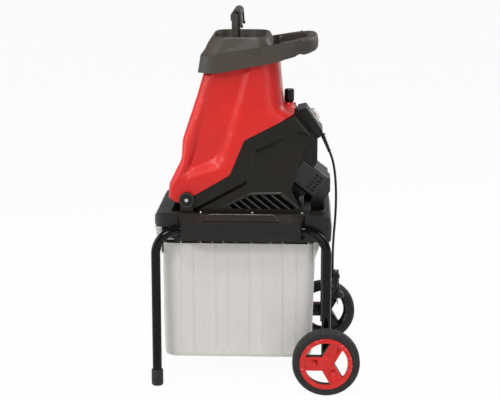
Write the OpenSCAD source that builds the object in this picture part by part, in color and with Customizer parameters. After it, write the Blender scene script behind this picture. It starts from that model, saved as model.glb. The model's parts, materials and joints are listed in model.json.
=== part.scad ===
// Garden shredder on a two wheeled stand, with a tilting hopper and a catch box.
// Front is -X, the wheels are at +X, and the origin is on the floor under the middle.

/* [Stand] */
// Outer diameter of the leg tube
tube_d = 25; // [22:1:28]
// Wall of the leg tube
tube_wall = 1.5; // [1:0.1:2.5]
// Distance from the middle plane to a leg frame
leg_y = 184; // [182:1:190]
// Front leg position
front_leg_x = -262; // [-266:1:-258]
// Rear leg and axle position
rear_leg_x = 195; // [190:1:200]
// Centreline radius of the tube bends
bend_r = 65; // [50:1:80]
// Outer diameter of a foot
foot_d = 32; // [30:1:38]
// Height of a foot
foot_h = 44; // [30:1:60]

/* [Wheels] */
// Outer diameter of the tyre
wheel_d = 180; // [170:1:190]
// Width of the tyre
wheel_w = 42; // [36:1:48]
// Diameter of the seat between tyre and core
rim_d = 140; // [130:1:148]
// Diameter of the hub
hub_d = 36; // [30:1:44]
// Diameter of the axle
axle_d = 12; // [8:1:14]
// Free space between leg tube and wheel hub
wheel_gap = 24; // [15:1:35]
// Notches round each shoulder of the tyre
tread_notches = 28; // [12:1:40]
// Width of a spoke
spoke_w = 37; // [24:1:44]

/* [Tray] */
// Height of the tray deck above the floor
deck_z = 476; // [470:1:485]
// Wall of the tray
tray_wall = 3; // [2:0.5:4]
// Depth of the side apron below the deck
apron_h = 67; // [62:1:72]
// Front end of the tray
tray_front = -270; // [-273:1:-267]
// Rear end of the tray
tray_rear = 208; // [204:1:212]

/* [Collection box] */
// Height of the box from its bottom to its rim
box_h = 338; // [300:1:350]
// Front of the box body
box_front = -250; // [-252:1:-240]
// Rear of the box body
box_rear = 165; // [150:1:170]
// Wall of the box
box_wall = 2.5; // [2:0.5:4]
// Draft of the box sides in degrees
box_draft = 1.5; // [0.5:0.5:3]
// Corner radius of the box
box_corner = 28; // [16:1:40]

/* [Housing and hopper] */
// Half width of the machine at the deck
body_half = 147.5; // [144:0.5:149]
// Wall of the housing and the hopper
shell_wall = 4; // [3:0.5:5]
// Depth of the stepped side panels
panel_step = 7; // [4:0.5:8]
// Gap at the parting line
parting_gap = 1; // [0.6:0.1:2]
// Diameter of the hinge screws
hinge_d = 10; // [8:1:12]
// Diameter of the hinge ears
ear_d = 41; // [36:1:46]

/* [Cutter] */
// Diameter of the blade disc
disc_d = 190; // [170:1:200]
// Thickness of the blade disc
disc_t = 6; // [4:0.5:8]
// Diameter of the motor shaft
shaft_d = 15; // [12:1:17]
// Diameter of the stator
stator_d = 90; // [80:1:96]
// Length of the stator
stator_len = 60; // [50:1:66]

/* [Feed] */
// Height of the feed rim above the deck
rim_h = 463; // [458:1:470]
// Half width of the feed rim
rim_half = 118; // [112:1:122]
// Half width of the feed throat
throat_half = 80; // [74:1:86]
// Wall of the collar
collar_wall = 4; // [3:0.5:5]
// Thickness of the tamper blade
tamper_t = 8; // [6:0.5:9]
// Half width of the tamper
tamper_half = 75; // [60:1:76]

/* [Cord] */
// Diameter of the mains cord
cord_d = 6.6; // [6:0.1:7]
// Diameter of the plug face
plug_d = 36; // [32:1:40]

/* [Hidden] */
$fn = 64;

// Fits between pieces
fit = 0.05;
seat = 0.2;
run_gap = 1;

// Colours
black_plastic = [0.2, 0.19, 0.18];
tube_black = [0.08, 0.08, 0.08];
red_plastic = [0.8, 0.12, 0.1];
milky = [0.86, 0.86, 0.83];
steel = [0.72, 0.72, 0.74];
dark_rubber = [0.13, 0.12, 0.12];
copper = [0.72, 0.42, 0.2];

// Stand
tube_r = tube_d / 2;
axle_z = wheel_d / 2;
run_z = deck_z - 44;
leg_tail = 18;
foot_base = 6;

// Wheel stack across the axle
hub_in = leg_y + tube_r + wheel_gap;
core_w = wheel_w - 6;
cover_t = 4;
tyre_mid = hub_in + wheel_w / 2;
cover_face = hub_in + wheel_w;
retainer_t = 3;
retainer_d = axle_d + 12;
hub_recess = 8;
ring_w = 12;
spoke_depth = 20;
axle_end = cover_face - cover_t - 2;

// Tray
inner_y = leg_y - tube_r - run_gap;
apron_y = leg_y + tube_r + run_gap + 2.5 + tray_wall;
apron_low = deck_z - apron_h;
apron_front = -190;
apron_rear = 124;
shoulder_drop = 17;
front_depth = 38;
front_corner = 50;
rear_corner = 24;
trough_r = 53;
trough_half = 148;
well_x = [132, 187];
well_half = 122;
well_depth = 22;
panel_rise = 1.6;
apron_panel_x = [-134, 69];
screw_x = [-142, -4, 128];
screw_y = 157;
screw_r = 1.6;

// Rails and box
rail_t = 3;
rail_from = tray_front + front_corner + 4;
rail_len = tray_rear - rear_corner - rail_from;
rail_lip = 8;
rail_y = inner_y - tray_wall - seat;
box_rim_z = apron_low - 4;
flange_t = 3;
rail_lip_t = 3;
rail_lip_z = box_rim_z - flange_t - rail_lip_t - seat;
box_flange_y = rail_y - rail_t - 1.5;
box_half = rail_y - rail_t - rail_lip - 1;
slot_h = 11;
// Upright bars between the vent slots, from the front to the rear
vent_bars = [-246, -197, -144, -112, -82, -50, -8, 45, 77, 146, 161];
bar_w = 2.4;
side_ribs = [-200, -165, -105, -72, -14, 20, 75, 112];
front_top = deck_z - front_depth - 4;
scoop_x = -266.5;
scoop_low = box_rim_z - 47;
lip_x = -285;
lip_half = 60;
lip_t = 3.5;
tail_x = box_rear + 14;
tail_low = box_rim_z - 67;

// Upper machine, heights are above the deck
pivot = [-180.5, 32.5];
side_draft = 0.0714;
part_a = [-160, 42];
part_b = [-66, 98];
part_c = [-27.5, 191];
part_d = [108, 259];
band_a = [-143, 17.5];
band_b = [-27, 80];
band_c = [-3, 163];
band_d = [112, 219];
rear_low = [129, 0];
rear_notch = [98.6, 58];
rear_mid = [125, 146];
rear_top = [149, 200];
spine_half = 72;
band_flank = 9;
louvre_pitch = 26;
louvre_bar = 5;
ridge_h = 2.4;
ridge_gap = 3;
ridge_w = 4;
ear_t = 8;
hinge_boss_r = 12;
hopper_sink = 8;
ear_y = half_at(0) + 1.3;

// Motor axis runs down to the rear from the blade disc
disc_at = [-7, 194];
motor_pitch = 37;
bearing_w = 11;
plate_at = 22;
plate_t = 6;
plate_half = 115;
front_bearing_at = plate_at + plate_t;
stator_at = 62;
bracket_at = 158;
bracket_t = 6;
cover_at = 152;
cover_end = 232;
shaft_end = 214;
cover_v = [-40, 32];
cover_corner = 8;
cover_rib = 1.5;
pillar_angles = [60, 120, 240, 300];

// Switch box
panel_top = [131, 275];
panel_low = [181, 205];
box_back = [114, 262];
spine_top = [112, 252];
spine_low = [168, 184];
spine_up = unit([spine_top[1] - spine_low[1], spine_low[0] - spine_top[0]]);
switch_half = 52;
switch_wall = 4;
switch_cut = 2.6;
panel_pitch = atan2(panel_top[1] - panel_low[1], panel_low[0] - panel_top[0]);
switch_mid = (panel_top + panel_low) / 2;

// Lock
knob_x = 90;
knob_h = 35;
knob_r = 13.5;
boss_top = 277;
boss_r = 11;
tongue_r = 20;
spindle_d = 8;
spindle_low = 236;
shelf_h = 210;

// Collar
collar_front = -153;
collar_rear = 170;
collar_half = 136;
rim_x = [-115, 35];
collar_tilt = 0.169;
loop_front = 46;
loop_rear = 138;
loop_half = 104;
skin_end = 126;
grip_y = 120;
grip_x = 153;
grip_bend = 78;
grip_w = 29.6;
throat_x = [-90, -30];
throat_h = 374;
chute_low_x = [-78, -14];
chute_low_h = 120;
chute_wall = 3;
chute_cut = 16;
knife_gap = 10.2;
hopper_top = [-134, 363];
hopper_slope = 0.186;

// Tamper
tamper_x = -63;
hook_w = 26;
hook_top = 532;
tamper_low = 229;
ear_gap = 0.3;

// Cord route, from the strain relief down to the hank, in the middle plane
relief_from = [181, 0, deck_z + 187];
relief_tilt = 156.8;
relief_dir = [sin(relief_tilt), 0, cos(relief_tilt)];
relief_len = 52;
cord_start = relief_from + relief_len * relief_dir;
cord_route = [
    [208, 122], [211, 112], [214, 98], [216.5, 82], [218.5, 64], [220, 44], [220.8, 24], [221, 4],
    [220.8, -16], [220, -36], [219, -56], [217.5, -76], [216, -96], [215, -116], [214.3, -136],
    [214, -156], [214, -176], [214, -192], [214, -208]
];
cord_points = [
    cord_start, cord_start + 8 * relief_dir,
    for (p = cord_route) [p[0], 0, deck_z + p[1]]
];
hank_from = cord_points[len(cord_points) - 1];
hank_r = 22.5;
hank_turns = 2;
hank_pitch = 7.6;
hank_lead = 8;
hank_tail = 26;
hank_to = hank_from + [hank_turns * hank_pitch, 0, -hank_lead - hank_tail];
plug_top = hank_to[2];
plug_h = 34;
pin_len = 19;

// Shared helpers

function half_at(h) = body_half - h * side_draft;

function unit(v) = v / norm(v);

// Corner of an outline replaced by an arc of radius r
function corner(p, q, s, r, n = 6) =
    let (u = unit(p - q), v = unit(s - q), half = acos(u * v) / 2)
    let (t = r / tan(half), mid = q + unit(u + v) * r / sin(half))
    let (from = q + u * t - mid, to = q + v * t - mid)
    let (a = atan2(from[1], from[0]), b = atan2(to[1], to[0]))
    let (turn = b - a > 180 ? b - a - 360 : b - a < -180 ? b - a + 360 : b - a)
    [for (i = [0:n]) mid + r * [cos(a + turn * i / n), sin(a + turn * i / n)]];

// Outline with each corner rounded by its own radius, 0 keeps it sharp
function rounded(pts, radii) = [
    for (i = [0:len(pts) - 1])
        let (p = pts[(i + len(pts) - 1) % len(pts)], q = pts[i], s = pts[(i + 1) % len(pts)])
        each radii[i] == 0 ? [q] : corner(p, q, s, radii[i])
];

// Outline moved inwards by d, for outlines that run counter-clockwise
function inset(pts, d) = [
    for (i = [0:len(pts) - 1])
        let (p = pts[(i + len(pts) - 1) % len(pts)], q = pts[i], s = pts[(i + 1) % len(pts)])
        let (u = unit(q - p), v = unit(s - q), m = [-u[1], u[0]], n = [-v[1], v[0]])
        q + (m + n) * d / (1 + m * n)
];

// Rounded rectangle in plan, as a ring at height h that rises with x by slope
function plan_ring(x0, x1, half, r, h, slope = 0, rear_r = 0) =
    let (pts = [[x0, -half], [x1, -half], [x1, half], [x0, half]], q = rear_r > 0 ? rear_r : r)
    [for (p = rounded(pts, [r, q, q, r])) [p[0], p[1], h + slope * p[0]]];

// Solid skinned over rings of equal point counts, lowest first
module loft(rings) {
    n = len(rings[0]);
    points = [for (ring = rings) each ring];
    sides = [
        for (k = [0:len(rings) - 2], j = [0:n - 1])
            let (a = k * n + j, b = k * n + (j + 1) % n)
            each [[a, a + n, b + n], [a, b + n, b]]
    ];
    bottom = [[for (j = [0:n - 1]) j]];
    top = [[for (j = [n - 1:-1:0]) (len(rings) - 1) * n + j]];
    polyhedron(points, concat(sides, bottom, top), convexity = 6);
}

// Tube swept along points, with sides facets
module sweep(path, r, sides) {
    last = len(path) - 1;
    side_axis = [0, 1, 0];
    rings = [
        for (i = [0:last])
            let (ahead = unit(path[min(i + 1, last)] - path[max(i - 1, 0)]))
            let (u = unit(cross(ahead, abs(ahead * side_axis) > 0.9 ? [1, 0, 0] : side_axis)))
            let (v = cross(ahead, u))
            [for (j = [0:sides - 1]) path[i] + r * (cos(360 * j / sides) * u + sin(360 * j / sides) * v)]
    ];
    loft(rings);
}

// Outline drawn in X and height, extruded to both sides of the middle plane
module across(pts, half) {
    rotate([90, 0, 0])
        linear_extrude(2 * half, center = true)
            polygon(pts);
}

// Outline drawn in Y and height, extruded from x0 to x1
module along(pts, x0, x1) {
    translate([x0, 0, 0])
        rotate([90, 0, 90])
            linear_extrude(x1 - x0)
                polygon(pts);
}

module both_sides() {
    children();
    mirror([0, 1, 0])
        children();
}

module on_deck() {
    translate([0, 0, deck_z])
        children();
}

// Z along the motor axis, from the blade disc to the rear, X down to the front
module motor_axis_local() {
    translate([disc_at[0], 0, disc_at[1]])
        rotate([0, 90 + motor_pitch, 0])
            children();
}

module on_motor_axis() {
    on_deck()
        motor_axis_local()
            children();
}

// Z out of the switch panel, X down along it
module on_panel() {
    on_deck()
        translate([switch_mid[0], 0, switch_mid[1]])
            rotate([0, panel_pitch, 0])
                children();
}

// Side wall plane at the deck, X to the rear, Y up the wall, Z outwards
module on_side() {
    translate([0, -body_half, 0])
        rotate([90 - atan(side_draft), 0, 0])
            children();
}

module tube(r, wall, h) {
    difference() {
        cylinder(r = r, h = h);
        translate([0, 0, -1])
            cylinder(r = r - wall, h = h + 2);
    }
}

// Round bar along Y
module bar(r, y0, y1) {
    translate([0, y0, 0])
        rotate([-90, 0, 0])
            cylinder(r = r, h = y1 - y0);
}

// Stand

module bent_tube(r) {
    front_top = run_z - bend_r;
    translate([front_leg_x, 0, foot_base])
        cylinder(r = r, h = front_top - foot_base);
    translate([rear_leg_x, 0, axle_z - leg_tail])
        cylinder(r = r, h = front_top - axle_z + leg_tail);
    translate([front_leg_x + bend_r, 0, run_z])
        rotate([0, 90, 0])
            cylinder(r = r, h = rear_leg_x - front_leg_x - 2 * bend_r);
    translate([front_leg_x + bend_r, 0, front_top])
        rotate([90, 0, 0])
            rotate([0, 0, 90])
                rotate_extrude(angle = 90)
                    translate([bend_r, 0])
                        circle(r = r);
    translate([rear_leg_x - bend_r, 0, front_top])
        rotate([90, 0, 0])
            rotate_extrude(angle = 90)
                translate([bend_r, 0])
                    circle(r = r);
}

module leg_frame(side) {
    color(tube_black)
        translate([0, side * leg_y, 0])
            difference() {
                bent_tube(tube_r);
                bent_tube(tube_r - tube_wall);
                translate([front_leg_x, 0, foot_base - 1])
                    cylinder(r = tube_r - tube_wall, h = 2);
                translate([rear_leg_x, 0, axle_z - leg_tail - 1])
                    cylinder(r = tube_r - tube_wall, h = 2);
                translate([rear_leg_x, 0, axle_z])
                    bar(axle_d / 2 + fit, -tube_d, tube_d);
            }
}

module foot(side) {
    base_r = foot_d / 2 - 2;
    color(dark_rubber)
        translate([front_leg_x, side * leg_y, 0])
            difference() {
                union() {
                    cylinder(r1 = base_r, r2 = foot_d / 2, h = 4);
                    translate([0, 0, 4])
                        cylinder(r = foot_d / 2, h = foot_h - 7);
                    translate([0, 0, foot_h - 3])
                        cylinder(r1 = foot_d / 2, r2 = foot_d / 2 - 1.5, h = 3);
                }
                translate([0, 0, foot_base])
                    cylinder(r = tube_r + fit, h = foot_h);
            }
}

// Saddles that hold the top runs of the tubes up against the deck
module tube_clamps() {
    clamp_w = 24;
    inner = tube_r + run_gap / 2;
    outer = apron_y - tray_wall - seat - leg_y;
    top = deck_z - shoulder_drop - tray_wall - seat;
    color(black_plastic)
        for (side = [-1, 1], x = [-130, 64])
            translate([x, side * leg_y, 0])
                difference() {
                    translate([-clamp_w / 2, side > 0 ? -inner : -outer, run_z])
                        cube([clamp_w, inner + outer, top - run_z]);
                    translate([-clamp_w, 0, run_z])
                        rotate([0, 90, 0])
                            cylinder(r = tube_r + fit, h = 2 * clamp_w);
                }
}

module axle() {
    color(steel)
        translate([rear_leg_x, 0, axle_z])
            bar(axle_d / 2, -axle_end, axle_end);
}

module axle_spacers() {
    from = leg_y + tube_r + seat;
    color(black_plastic)
        translate([rear_leg_x, 0, axle_z])
            both_sides()
                difference() {
                    bar(axle_d / 2 + 5, from, hub_in - seat);
                    bar(axle_d / 2 + fit, from - 1, hub_in + 1);
                }
}

module axle_retainers() {
    hub_out = cover_face - cover_t - hub_recess;
    color(steel)
        translate([rear_leg_x, 0, axle_z])
            both_sides()
                difference() {
                    bar(retainer_d / 2, hub_out + seat, hub_out + seat + retainer_t);
                    bar(axle_d / 2 + fit, hub_out, hub_out + retainer_t + 1);
                }
}

// Wheels, drawn at +Y and mirrored for the other side

module wheel_side(side) {
    translate([rear_leg_x, 0, axle_z])
        mirror([0, side < 0 ? 1 : 0, 0])
            children();
}

module tyre(side) {
    r = wheel_d / 2;
    w = wheel_w / 2;
    section = rounded(
        [[rim_d / 2, -w + 2], [r - 5, -w], [r, -w + 9], [r, w - 9], [r - 5, w], [rim_d / 2, w - 2]],
        [1, 4, 4, 4, 4, 1]
    );
    color(dark_rubber)
        wheel_side(side)
            translate([0, tyre_mid, 0])
                difference() {
                    rotate([90, 0, 0])
                        rotate_extrude($fn = 96)
                            polygon(section);
                    for (i = [0:tread_notches - 1], end = [-1, 1])
                        rotate([0, (i + end / 4) * 360 / tread_notches, 0])
                            translate([r - 3, end * (w - 1) - 6, -2.5])
                                cube([6, 12, 5]);
                }
}

// Three spokes of the given width, out to the radius r
module spokes(r, width, y0, y1) {
    for (a = [60, 180, 300])
        rotate([0, a, 0])
            translate([0, y0, -width / 2])
                cube([r, y1 - y0, width]);
}

module wheel_core(side) {
    rim_r = rim_d / 2 - fit;
    rim_wall = 6;
    back = cover_face - cover_t;
    core_end = tyre_mid + core_w / 2 - cover_t;
    color(black_plastic)
        wheel_side(side)
            difference() {
                union() {
                    difference() {
                        bar(rim_r, tyre_mid - core_w / 2, core_end);
                        bar(rim_r - rim_wall, hub_in - 1, core_end - 3);
                        bar(rim_r - ring_w - 0.5, hub_in - 1, cover_face);
                    }
                    bar(hub_d / 2, hub_in, back - hub_recess);
                    spokes(rim_r - 3, spoke_w - 1, core_end - spoke_depth, core_end);
                }
                bar(axle_d / 2 + fit, hub_in - 1, cover_face);
                bar(hub_d / 2 + 0.4, back - hub_recess, cover_face);
            }
}

// Red three spoke cover with sunken spoke panels and a domed hub
module hub_cover(side) {
    ring_r = rim_d / 2 - fit;
    open_r = ring_r - ring_w;
    back = cover_face - cover_t;
    rear = tyre_mid + core_w / 2 - cover_t + seat;
    spoke_face = cover_face - 1.6;
    panel_w = spoke_w - 14;
    color(red_plastic)
        wheel_side(side)
            difference() {
                union() {
                    difference() {
                        bar(ring_r, rear, cover_face);
                        bar(open_r, back - wheel_w, cover_face + 1);
                    }
                    bar(hub_d / 2, back - hub_recess + seat, cover_face - 2);
                    translate([0, cover_face - 2, 0])
                        rotate([-90, 0, 0])
                            cylinder(r1 = hub_d / 2, r2 = hub_d / 2 - 4, h = 2);
                    spokes(open_r + 6, spoke_w, rear, spoke_face);
                }
                bar(retainer_d / 2 + 2, back - hub_recess - 1, cover_face - 2.5);
                for (a = [60, 180, 300])
                    rotate([0, a, 0])
                        translate([hub_d / 2 + 5, spoke_face - 1.6, -panel_w / 2])
                            cube([open_r - hub_d / 2 - 8, 4, panel_w]);
            }
}

// Tray

// Cross section of the wide middle part, dropping to the aprons
function tray_section(d) = [
    [-apron_y + d, apron_low - (d > 0 ? 1 : 0)],
    [apron_y - d, apron_low - (d > 0 ? 1 : 0)],
    [apron_y - d, deck_z - shoulder_drop - d / 2],
    [inner_y - 6 - d / 2, deck_z - d],
    [-inner_y + 6 + d / 2, deck_z - d],
    [-apron_y + d, deck_z - shoulder_drop - d / 2]
];

// Plan of the middle part, its apron ends cut back towards the deck
function tray_plan(d) = [
    [apron_front + d, -apron_y - 1],
    [apron_rear - d, -apron_y - 1],
    [apron_rear + 12 - d, -inner_y],
    [apron_rear + 12 - d, inner_y],
    [apron_rear - d, apron_y + 1],
    [apron_front + d, apron_y + 1],
    [apron_front - 14 + d, inner_y],
    [apron_front - 14 + d, -inner_y]
];

// Side outline of the narrow part, with a shallow front and the rear block
function tray_side(d) =
    let (open = d > 0 ? 1 : 0)
    [
        [tray_front + d, deck_z - front_depth - open],
        [apron_front - 14 - 5 * open, deck_z - front_depth - open],
        [apron_front - 14 - 5 * open, apron_low - open],
        [tray_rear - 2 - d, apron_low - 9 - open],
        [tray_rear - d, deck_z - 40],
        [tray_rear - 6 - d, deck_z - 10 - d],
        [apron_rear + 12 - d / 2, deck_z - d],
        [tray_front + 22 + d / 2, deck_z - d],
        [tray_front + 8 + d, deck_z - 5 - d],
        [tray_front + 2 + d, deck_z - 14 - d / 2]
    ];

// Plan of the well in the deck that takes the foot of the motor cover
function well_plan(d) = rounded(
    [
        [well_x[0] - d, -well_half - d], [well_x[1] + d, -well_half - d],
        [well_x[1] + d, well_half + d], [well_x[0] - d, well_half + d]
    ],
    [6, 30, 30, 6]
);

module tray_form(d) {
    intersection() {
        along(tray_section(d), apron_front - 20, apron_rear + 20);
        translate([0, 0, apron_low - 5])
            linear_extrude(apron_h + 10)
                polygon(tray_plan(d));
    }
    intersection() {
        across(tray_side(d), inner_y);
        translate([0, 0, apron_low - 20])
            linear_extrude(apron_h + 30)
                plan_plate(tray_front + d, tray_rear - d, inner_y - d, front_corner - d, rear_corner - d);
    }
}

// Bar round the hinge line, as long as the hopper's foot
module trough_bar(d) {
    on_deck()
        translate([pivot[0], 0, pivot[1]])
            bar(trough_r + d, -trough_half - d, trough_half + d);
}

// Raised panel on the slope over each apron, drawn on that slope
module apron_panel() {
    run = apron_y - inner_y + 6;
    lean = atan(shoulder_drop / run);
    both_sides()
        translate([0, -inner_y + 6, deck_z])
            rotate([lean, 0, 0])
                translate([0, 0, -1])
                    linear_extrude(1 + panel_rise)
                        polygon(rounded(
                            [
                                [apron_panel_x[0], -run], [apron_panel_x[1], -run],
                                [apron_panel_x[1], -5], [apron_panel_x[0], -5]
                            ],
                            [1, 1, 24, 24]
                        ));
}

module base_tray() {
    color(black_plastic)
        difference() {
            union() {
                difference() {
                    tray_form(0);
                    tray_form(tray_wall);
                }
                // pan under the hopper's foot
                intersection() {
                    trough_bar(tray_wall);
                    translate([-300, -200, deck_z - 60])
                        cube([132, 400, 59]);
                }
                apron_panel();
                // thicker lower edge of the aprons
                both_sides()
                    translate([apron_front + 6, -apron_y - 1.2, apron_low])
                        cube([apron_rear - apron_front - 12, 2, 24]);
                // pan of the well under the motor
                translate([0, 0, deck_z - well_depth - tray_wall])
                    linear_extrude(well_depth + tray_wall / 2)
                        polygon(well_plan(tray_wall));
            }
            // well under the motor
            translate([0, 0, deck_z - well_depth])
                linear_extrude(well_depth + 10)
                    polygon(well_plan(0));
            // trough that the hopper's foot turns into
            trough_bar(0);
            // discharge opening over the box
            translate([-170, -118, deck_z - 40])
                cube([230, 236, 60]);
            // passages for the tubes through the apron ends
            for (side = [-1, 1])
                translate([front_leg_x + 10, side * leg_y, run_z])
                    rotate([0, 90, 0])
                        cylinder(r = tube_r + run_gap / 2, h = rear_leg_x - front_leg_x - 20);
            // holes of the housing screws
            housing_screw_places()
                translate([0, 0, -10])
                    cylinder(r = screw_r + fit, h = 20);
        }
}

module rail(side) {
    top = deck_z - tray_wall - seat;
    y0 = rail_y - rail_t;
    color(black_plastic)
        mirror([0, side > 0 ? 0 : 1, 0])
            translate([rail_from, 0, 0]) {
                translate([0, y0, rail_lip_z])
                    cube([rail_len, rail_t, top - rail_lip_z - 14]);
                translate([0, y0 - rail_lip, rail_lip_z])
                    cube([rail_len, rail_lip + 1, rail_lip_t]);
            }
}

// Collection box

function box_ring(d, h) =
    let (draw = h * tan(box_draft))
    let (in = draw + d)
    plan_ring(box_front + in, box_rear - in, box_half - in, box_corner - d, box_rim_z - h);

module collection_box() {
    floor_r = 12;
    depth = box_h;
    color(milky)
        difference() {
            union() {
                // drafted body with a rounded floor edge
                loft([
                    box_ring(floor_r * 0.8, depth), box_ring(floor_r * 0.25, depth - floor_r * 0.35),
                    box_ring(0, depth - floor_r), box_ring(0, 0)
                ]);
                // runner flange
                translate([box_front - 2, -box_flange_y, box_rim_z - flange_t])
                    cube([box_rear - box_front + 14, 2 * box_flange_y, flange_t]);
                // front that leans out under the tray
                across(
                    [[box_front + 1, scoop_low], [box_front + 1, front_top], [scoop_x, front_top]],
                    box_half - 6
                );
                // pull lip in the middle of the front
                across(
                    [
                        [scoop_x + 3, front_top], [lip_x, front_top], [lip_x, box_rim_z - 14],
                        [lip_x + lip_t, box_rim_z - 14], [lip_x + lip_t, front_top - lip_t],
                        [scoop_x + 3, front_top - lip_t]
                    ],
                    lip_half
                );
                // rear wall that leans out to the rim
                across(
                    [
                        [box_rear - 6, tail_low], [tail_x, box_rim_z - 11],
                        [tail_x, box_rim_z - 0.5], [box_rear - 6, box_rim_z - 0.5]
                    ],
                    box_half - 4
                );
                // upright ribs on the sides
                both_sides()
                    for (x = side_ribs)
                        translate([x, -box_half, box_rim_z])
                            rotate([box_draft, 0, 0])
                                translate([-1.5, -0.9, -depth + 30])
                                    cube([3, 3, depth - 50]);
            }
            loft([
                box_ring(floor_r * 0.8 + box_wall, depth - box_wall),
                box_ring(floor_r * 0.25 + box_wall, depth - floor_r * 0.35),
                box_ring(box_wall, depth - floor_r), box_ring(box_wall, -1)
            ]);
            // hollows of the leaning front and rear
            across(
                [
                    [box_front - 1, scoop_low + 14], [box_front - 1, front_top + 1],
                    [scoop_x + 3, front_top + 1], [scoop_x + 3, front_top - 2]
                ],
                box_half - 9
            );
            across(
                [
                    [box_rear, tail_low + 28], [tail_x - 3, box_rim_z - 8],
                    [tail_x - 3, box_rim_z + 1], [box_rear, box_rim_z + 1]
                ],
                box_half - 7
            );
            // vent slots under the rim
            for (i = [0:len(vent_bars) - 2])
                translate([vent_bars[i] + bar_w / 2, -box_half - 10, box_rim_z - 4 - slot_h])
                    cube([vent_bars[i + 1] - vent_bars[i] - bar_w, 2 * box_half + 20, slot_h]);
        }
}

// Lower housing

// Everything below the parting line, kept lower than it by gap
function below_parting(gap) = [
    [-260, 0], [260, 0], [260, part_d[1] - gap], part_d - [0, gap],
    each corner(part_d, part_c, part_b, 16),
    each corner(part_c, part_b, part_a, 14),
    part_a - [0, gap], [-163, 14], [-260, 14]
];

housing_outline = [
    [-174, -6], rear_low - [0, 6], rear_notch, rear_mid, rear_top, spine_top - [4, 4], [100, 300],
    [-45, 225], [-95, 125], [-174, 70]
];

spine_outline = [
    [60, 40], [90, 10], [150, 40], [132, 70], [168, 122], spine_low, spine_top, [80, 236], [40, 170]
];

module taper_block(d) {
    top = 460;
    along(
        [
            [-half_at(-10) + d, -10], [half_at(-10) - d, -10],
            [half_at(top) - d, top], [-half_at(top) + d, top]
        ],
        -300, 300
    );
}

// Slanted bars of the side louvres
module louvre_bars() {
    for (i = [-4:8])
        translate([-60 + i * louvre_pitch, 26, 0])
            rotate([0, 0, -38])
                translate([-60, -louvre_bar / 2, -20])
                    cube([120, louvre_bar, 40]);
}

louvre_outline = rounded([[-84, 7], [114, 7], [74, 46], [-9, 44]], [4, 4, 8, 8]);

// Ridge round the top and the ends of the louvres
module louvre_ridge() {
    both_sides()
        on_side()
            translate([0, 0, -panel_step - 1])
                linear_extrude(1 + ridge_h)
                    intersection() {
                        difference() {
                            polygon(inset(louvre_outline, -ridge_gap - ridge_w));
                            polygon(inset(louvre_outline, -ridge_gap));
                        }
                        translate([-150, 6])
                            square([300, 80]);
                    }
}

module louvre_cut() {
    both_sides()
        on_side()
            difference() {
                translate([0, 0, -panel_step - shell_wall - 3])
                    linear_extrude(40)
                        polygon(louvre_outline);
                louvre_bars();
            }
}

// Raised band that follows the parting line
band_outline = [
    band_a + [-40, -20], band_a,
    each corner(band_a, band_b, band_c, 18),
    each corner(band_b, band_c, band_d, 18),
    band_d, rear_top + [-4, 12], [118, 252], [118, 290], [-45, 225], [-95, 125], [-196, 70], [-196, 2]
];

// The band on each side wall, d inside the skin, its edge slanting down to the panel
module band_form(d) {
    over = 2;
    rise = [-panel_step - d - over, -d + over];
    both_sides()
        on_side()
            loft([
                for (z = rise)
                    [for (p = inset(band_outline, d + band_flank * (z + d) / panel_step)) [p[0], p[1], z]]
            ]);
}

module housing_form(d) {
    intersection() {
        taper_block(panel_step + d);
        across(inset(housing_outline, d), 200);
    }
    intersection() {
        taper_block(d);
        across(inset(housing_outline, d), 200);
        band_form(d);
    }
    across(inset(spine_outline, d), spine_half - d);
}

module hinge_ears() {
    both_sides()
        difference() {
            union() {
                translate([pivot[0], 0, pivot[1]])
                    bar(ear_d / 2, ear_y, ear_y + ear_t);
                translate([pivot[0] - ear_d / 2 + 4, ear_y, 0])
                    cube([ear_d - 8, ear_t, pivot[1]]);
                translate([pivot[0] - 4, ear_y - 8, 0])
                    cube([ear_d / 2, 10, 9]);
            }
            translate([pivot[0], 0, pivot[1]])
                bar(hinge_d / 2 + fit, 0, 300);
        }
}

// Ledges that the motor plate is screwed to
module plate_ledges() {
    motor_axis_local()
        both_sides()
            translate([-66, plate_half - 12, plate_at + plate_t + seat])
                cube([132, 60, 7]);
}

module lower_housing() {
    color(black_plastic)
        on_deck() {
            intersection() {
                difference() {
                    union() {
                        housing_form(0);
                        louvre_ridge();
                    }
                    difference() {
                        housing_form(shell_wall);
                        plate_ledges();
                        // shelf for the interlock switch
                        translate([knob_x - 23, -20, shelf_h - 4])
                            cube([80, 40, 4]);
                    }
                    louvre_cut();
                    // room for the motor cover
                    motor_axis_local()
                        translate([0, 0, cover_at - seat])
                            linear_extrude(cover_end)
                                polygon(cover_section(-cover_rib - seat));
                }
                across(below_parting(parting_gap), 300);
            }
            hinge_ears();
        }
}

// Places of the small screws along both edges of the deck
module housing_screw_places() {
    both_sides()
        for (x = screw_x)
            translate([x, -screw_y, deck_z])
                children();
}

module housing_screws() {
    head_r = 2.2 * screw_r;
    color(steel)
        housing_screw_places() {
            translate([0, 0, -8])
                cylinder(r = screw_r, h = 9);
            cylinder(r1 = head_r, r2 = 0.7 * head_r, h = 2);
        }
}

// Motor

function cover_section(d) =
    let (v = cover_v)
    rounded(
        [
            [-v[1] + d, -spine_half + d], [-v[0] - d, -spine_half + d],
            [-v[0] - d, spine_half - d], [-v[1] + d, spine_half - d]
        ],
        [cover_corner, cover_corner, cover_corner, cover_corner]
    );

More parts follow.
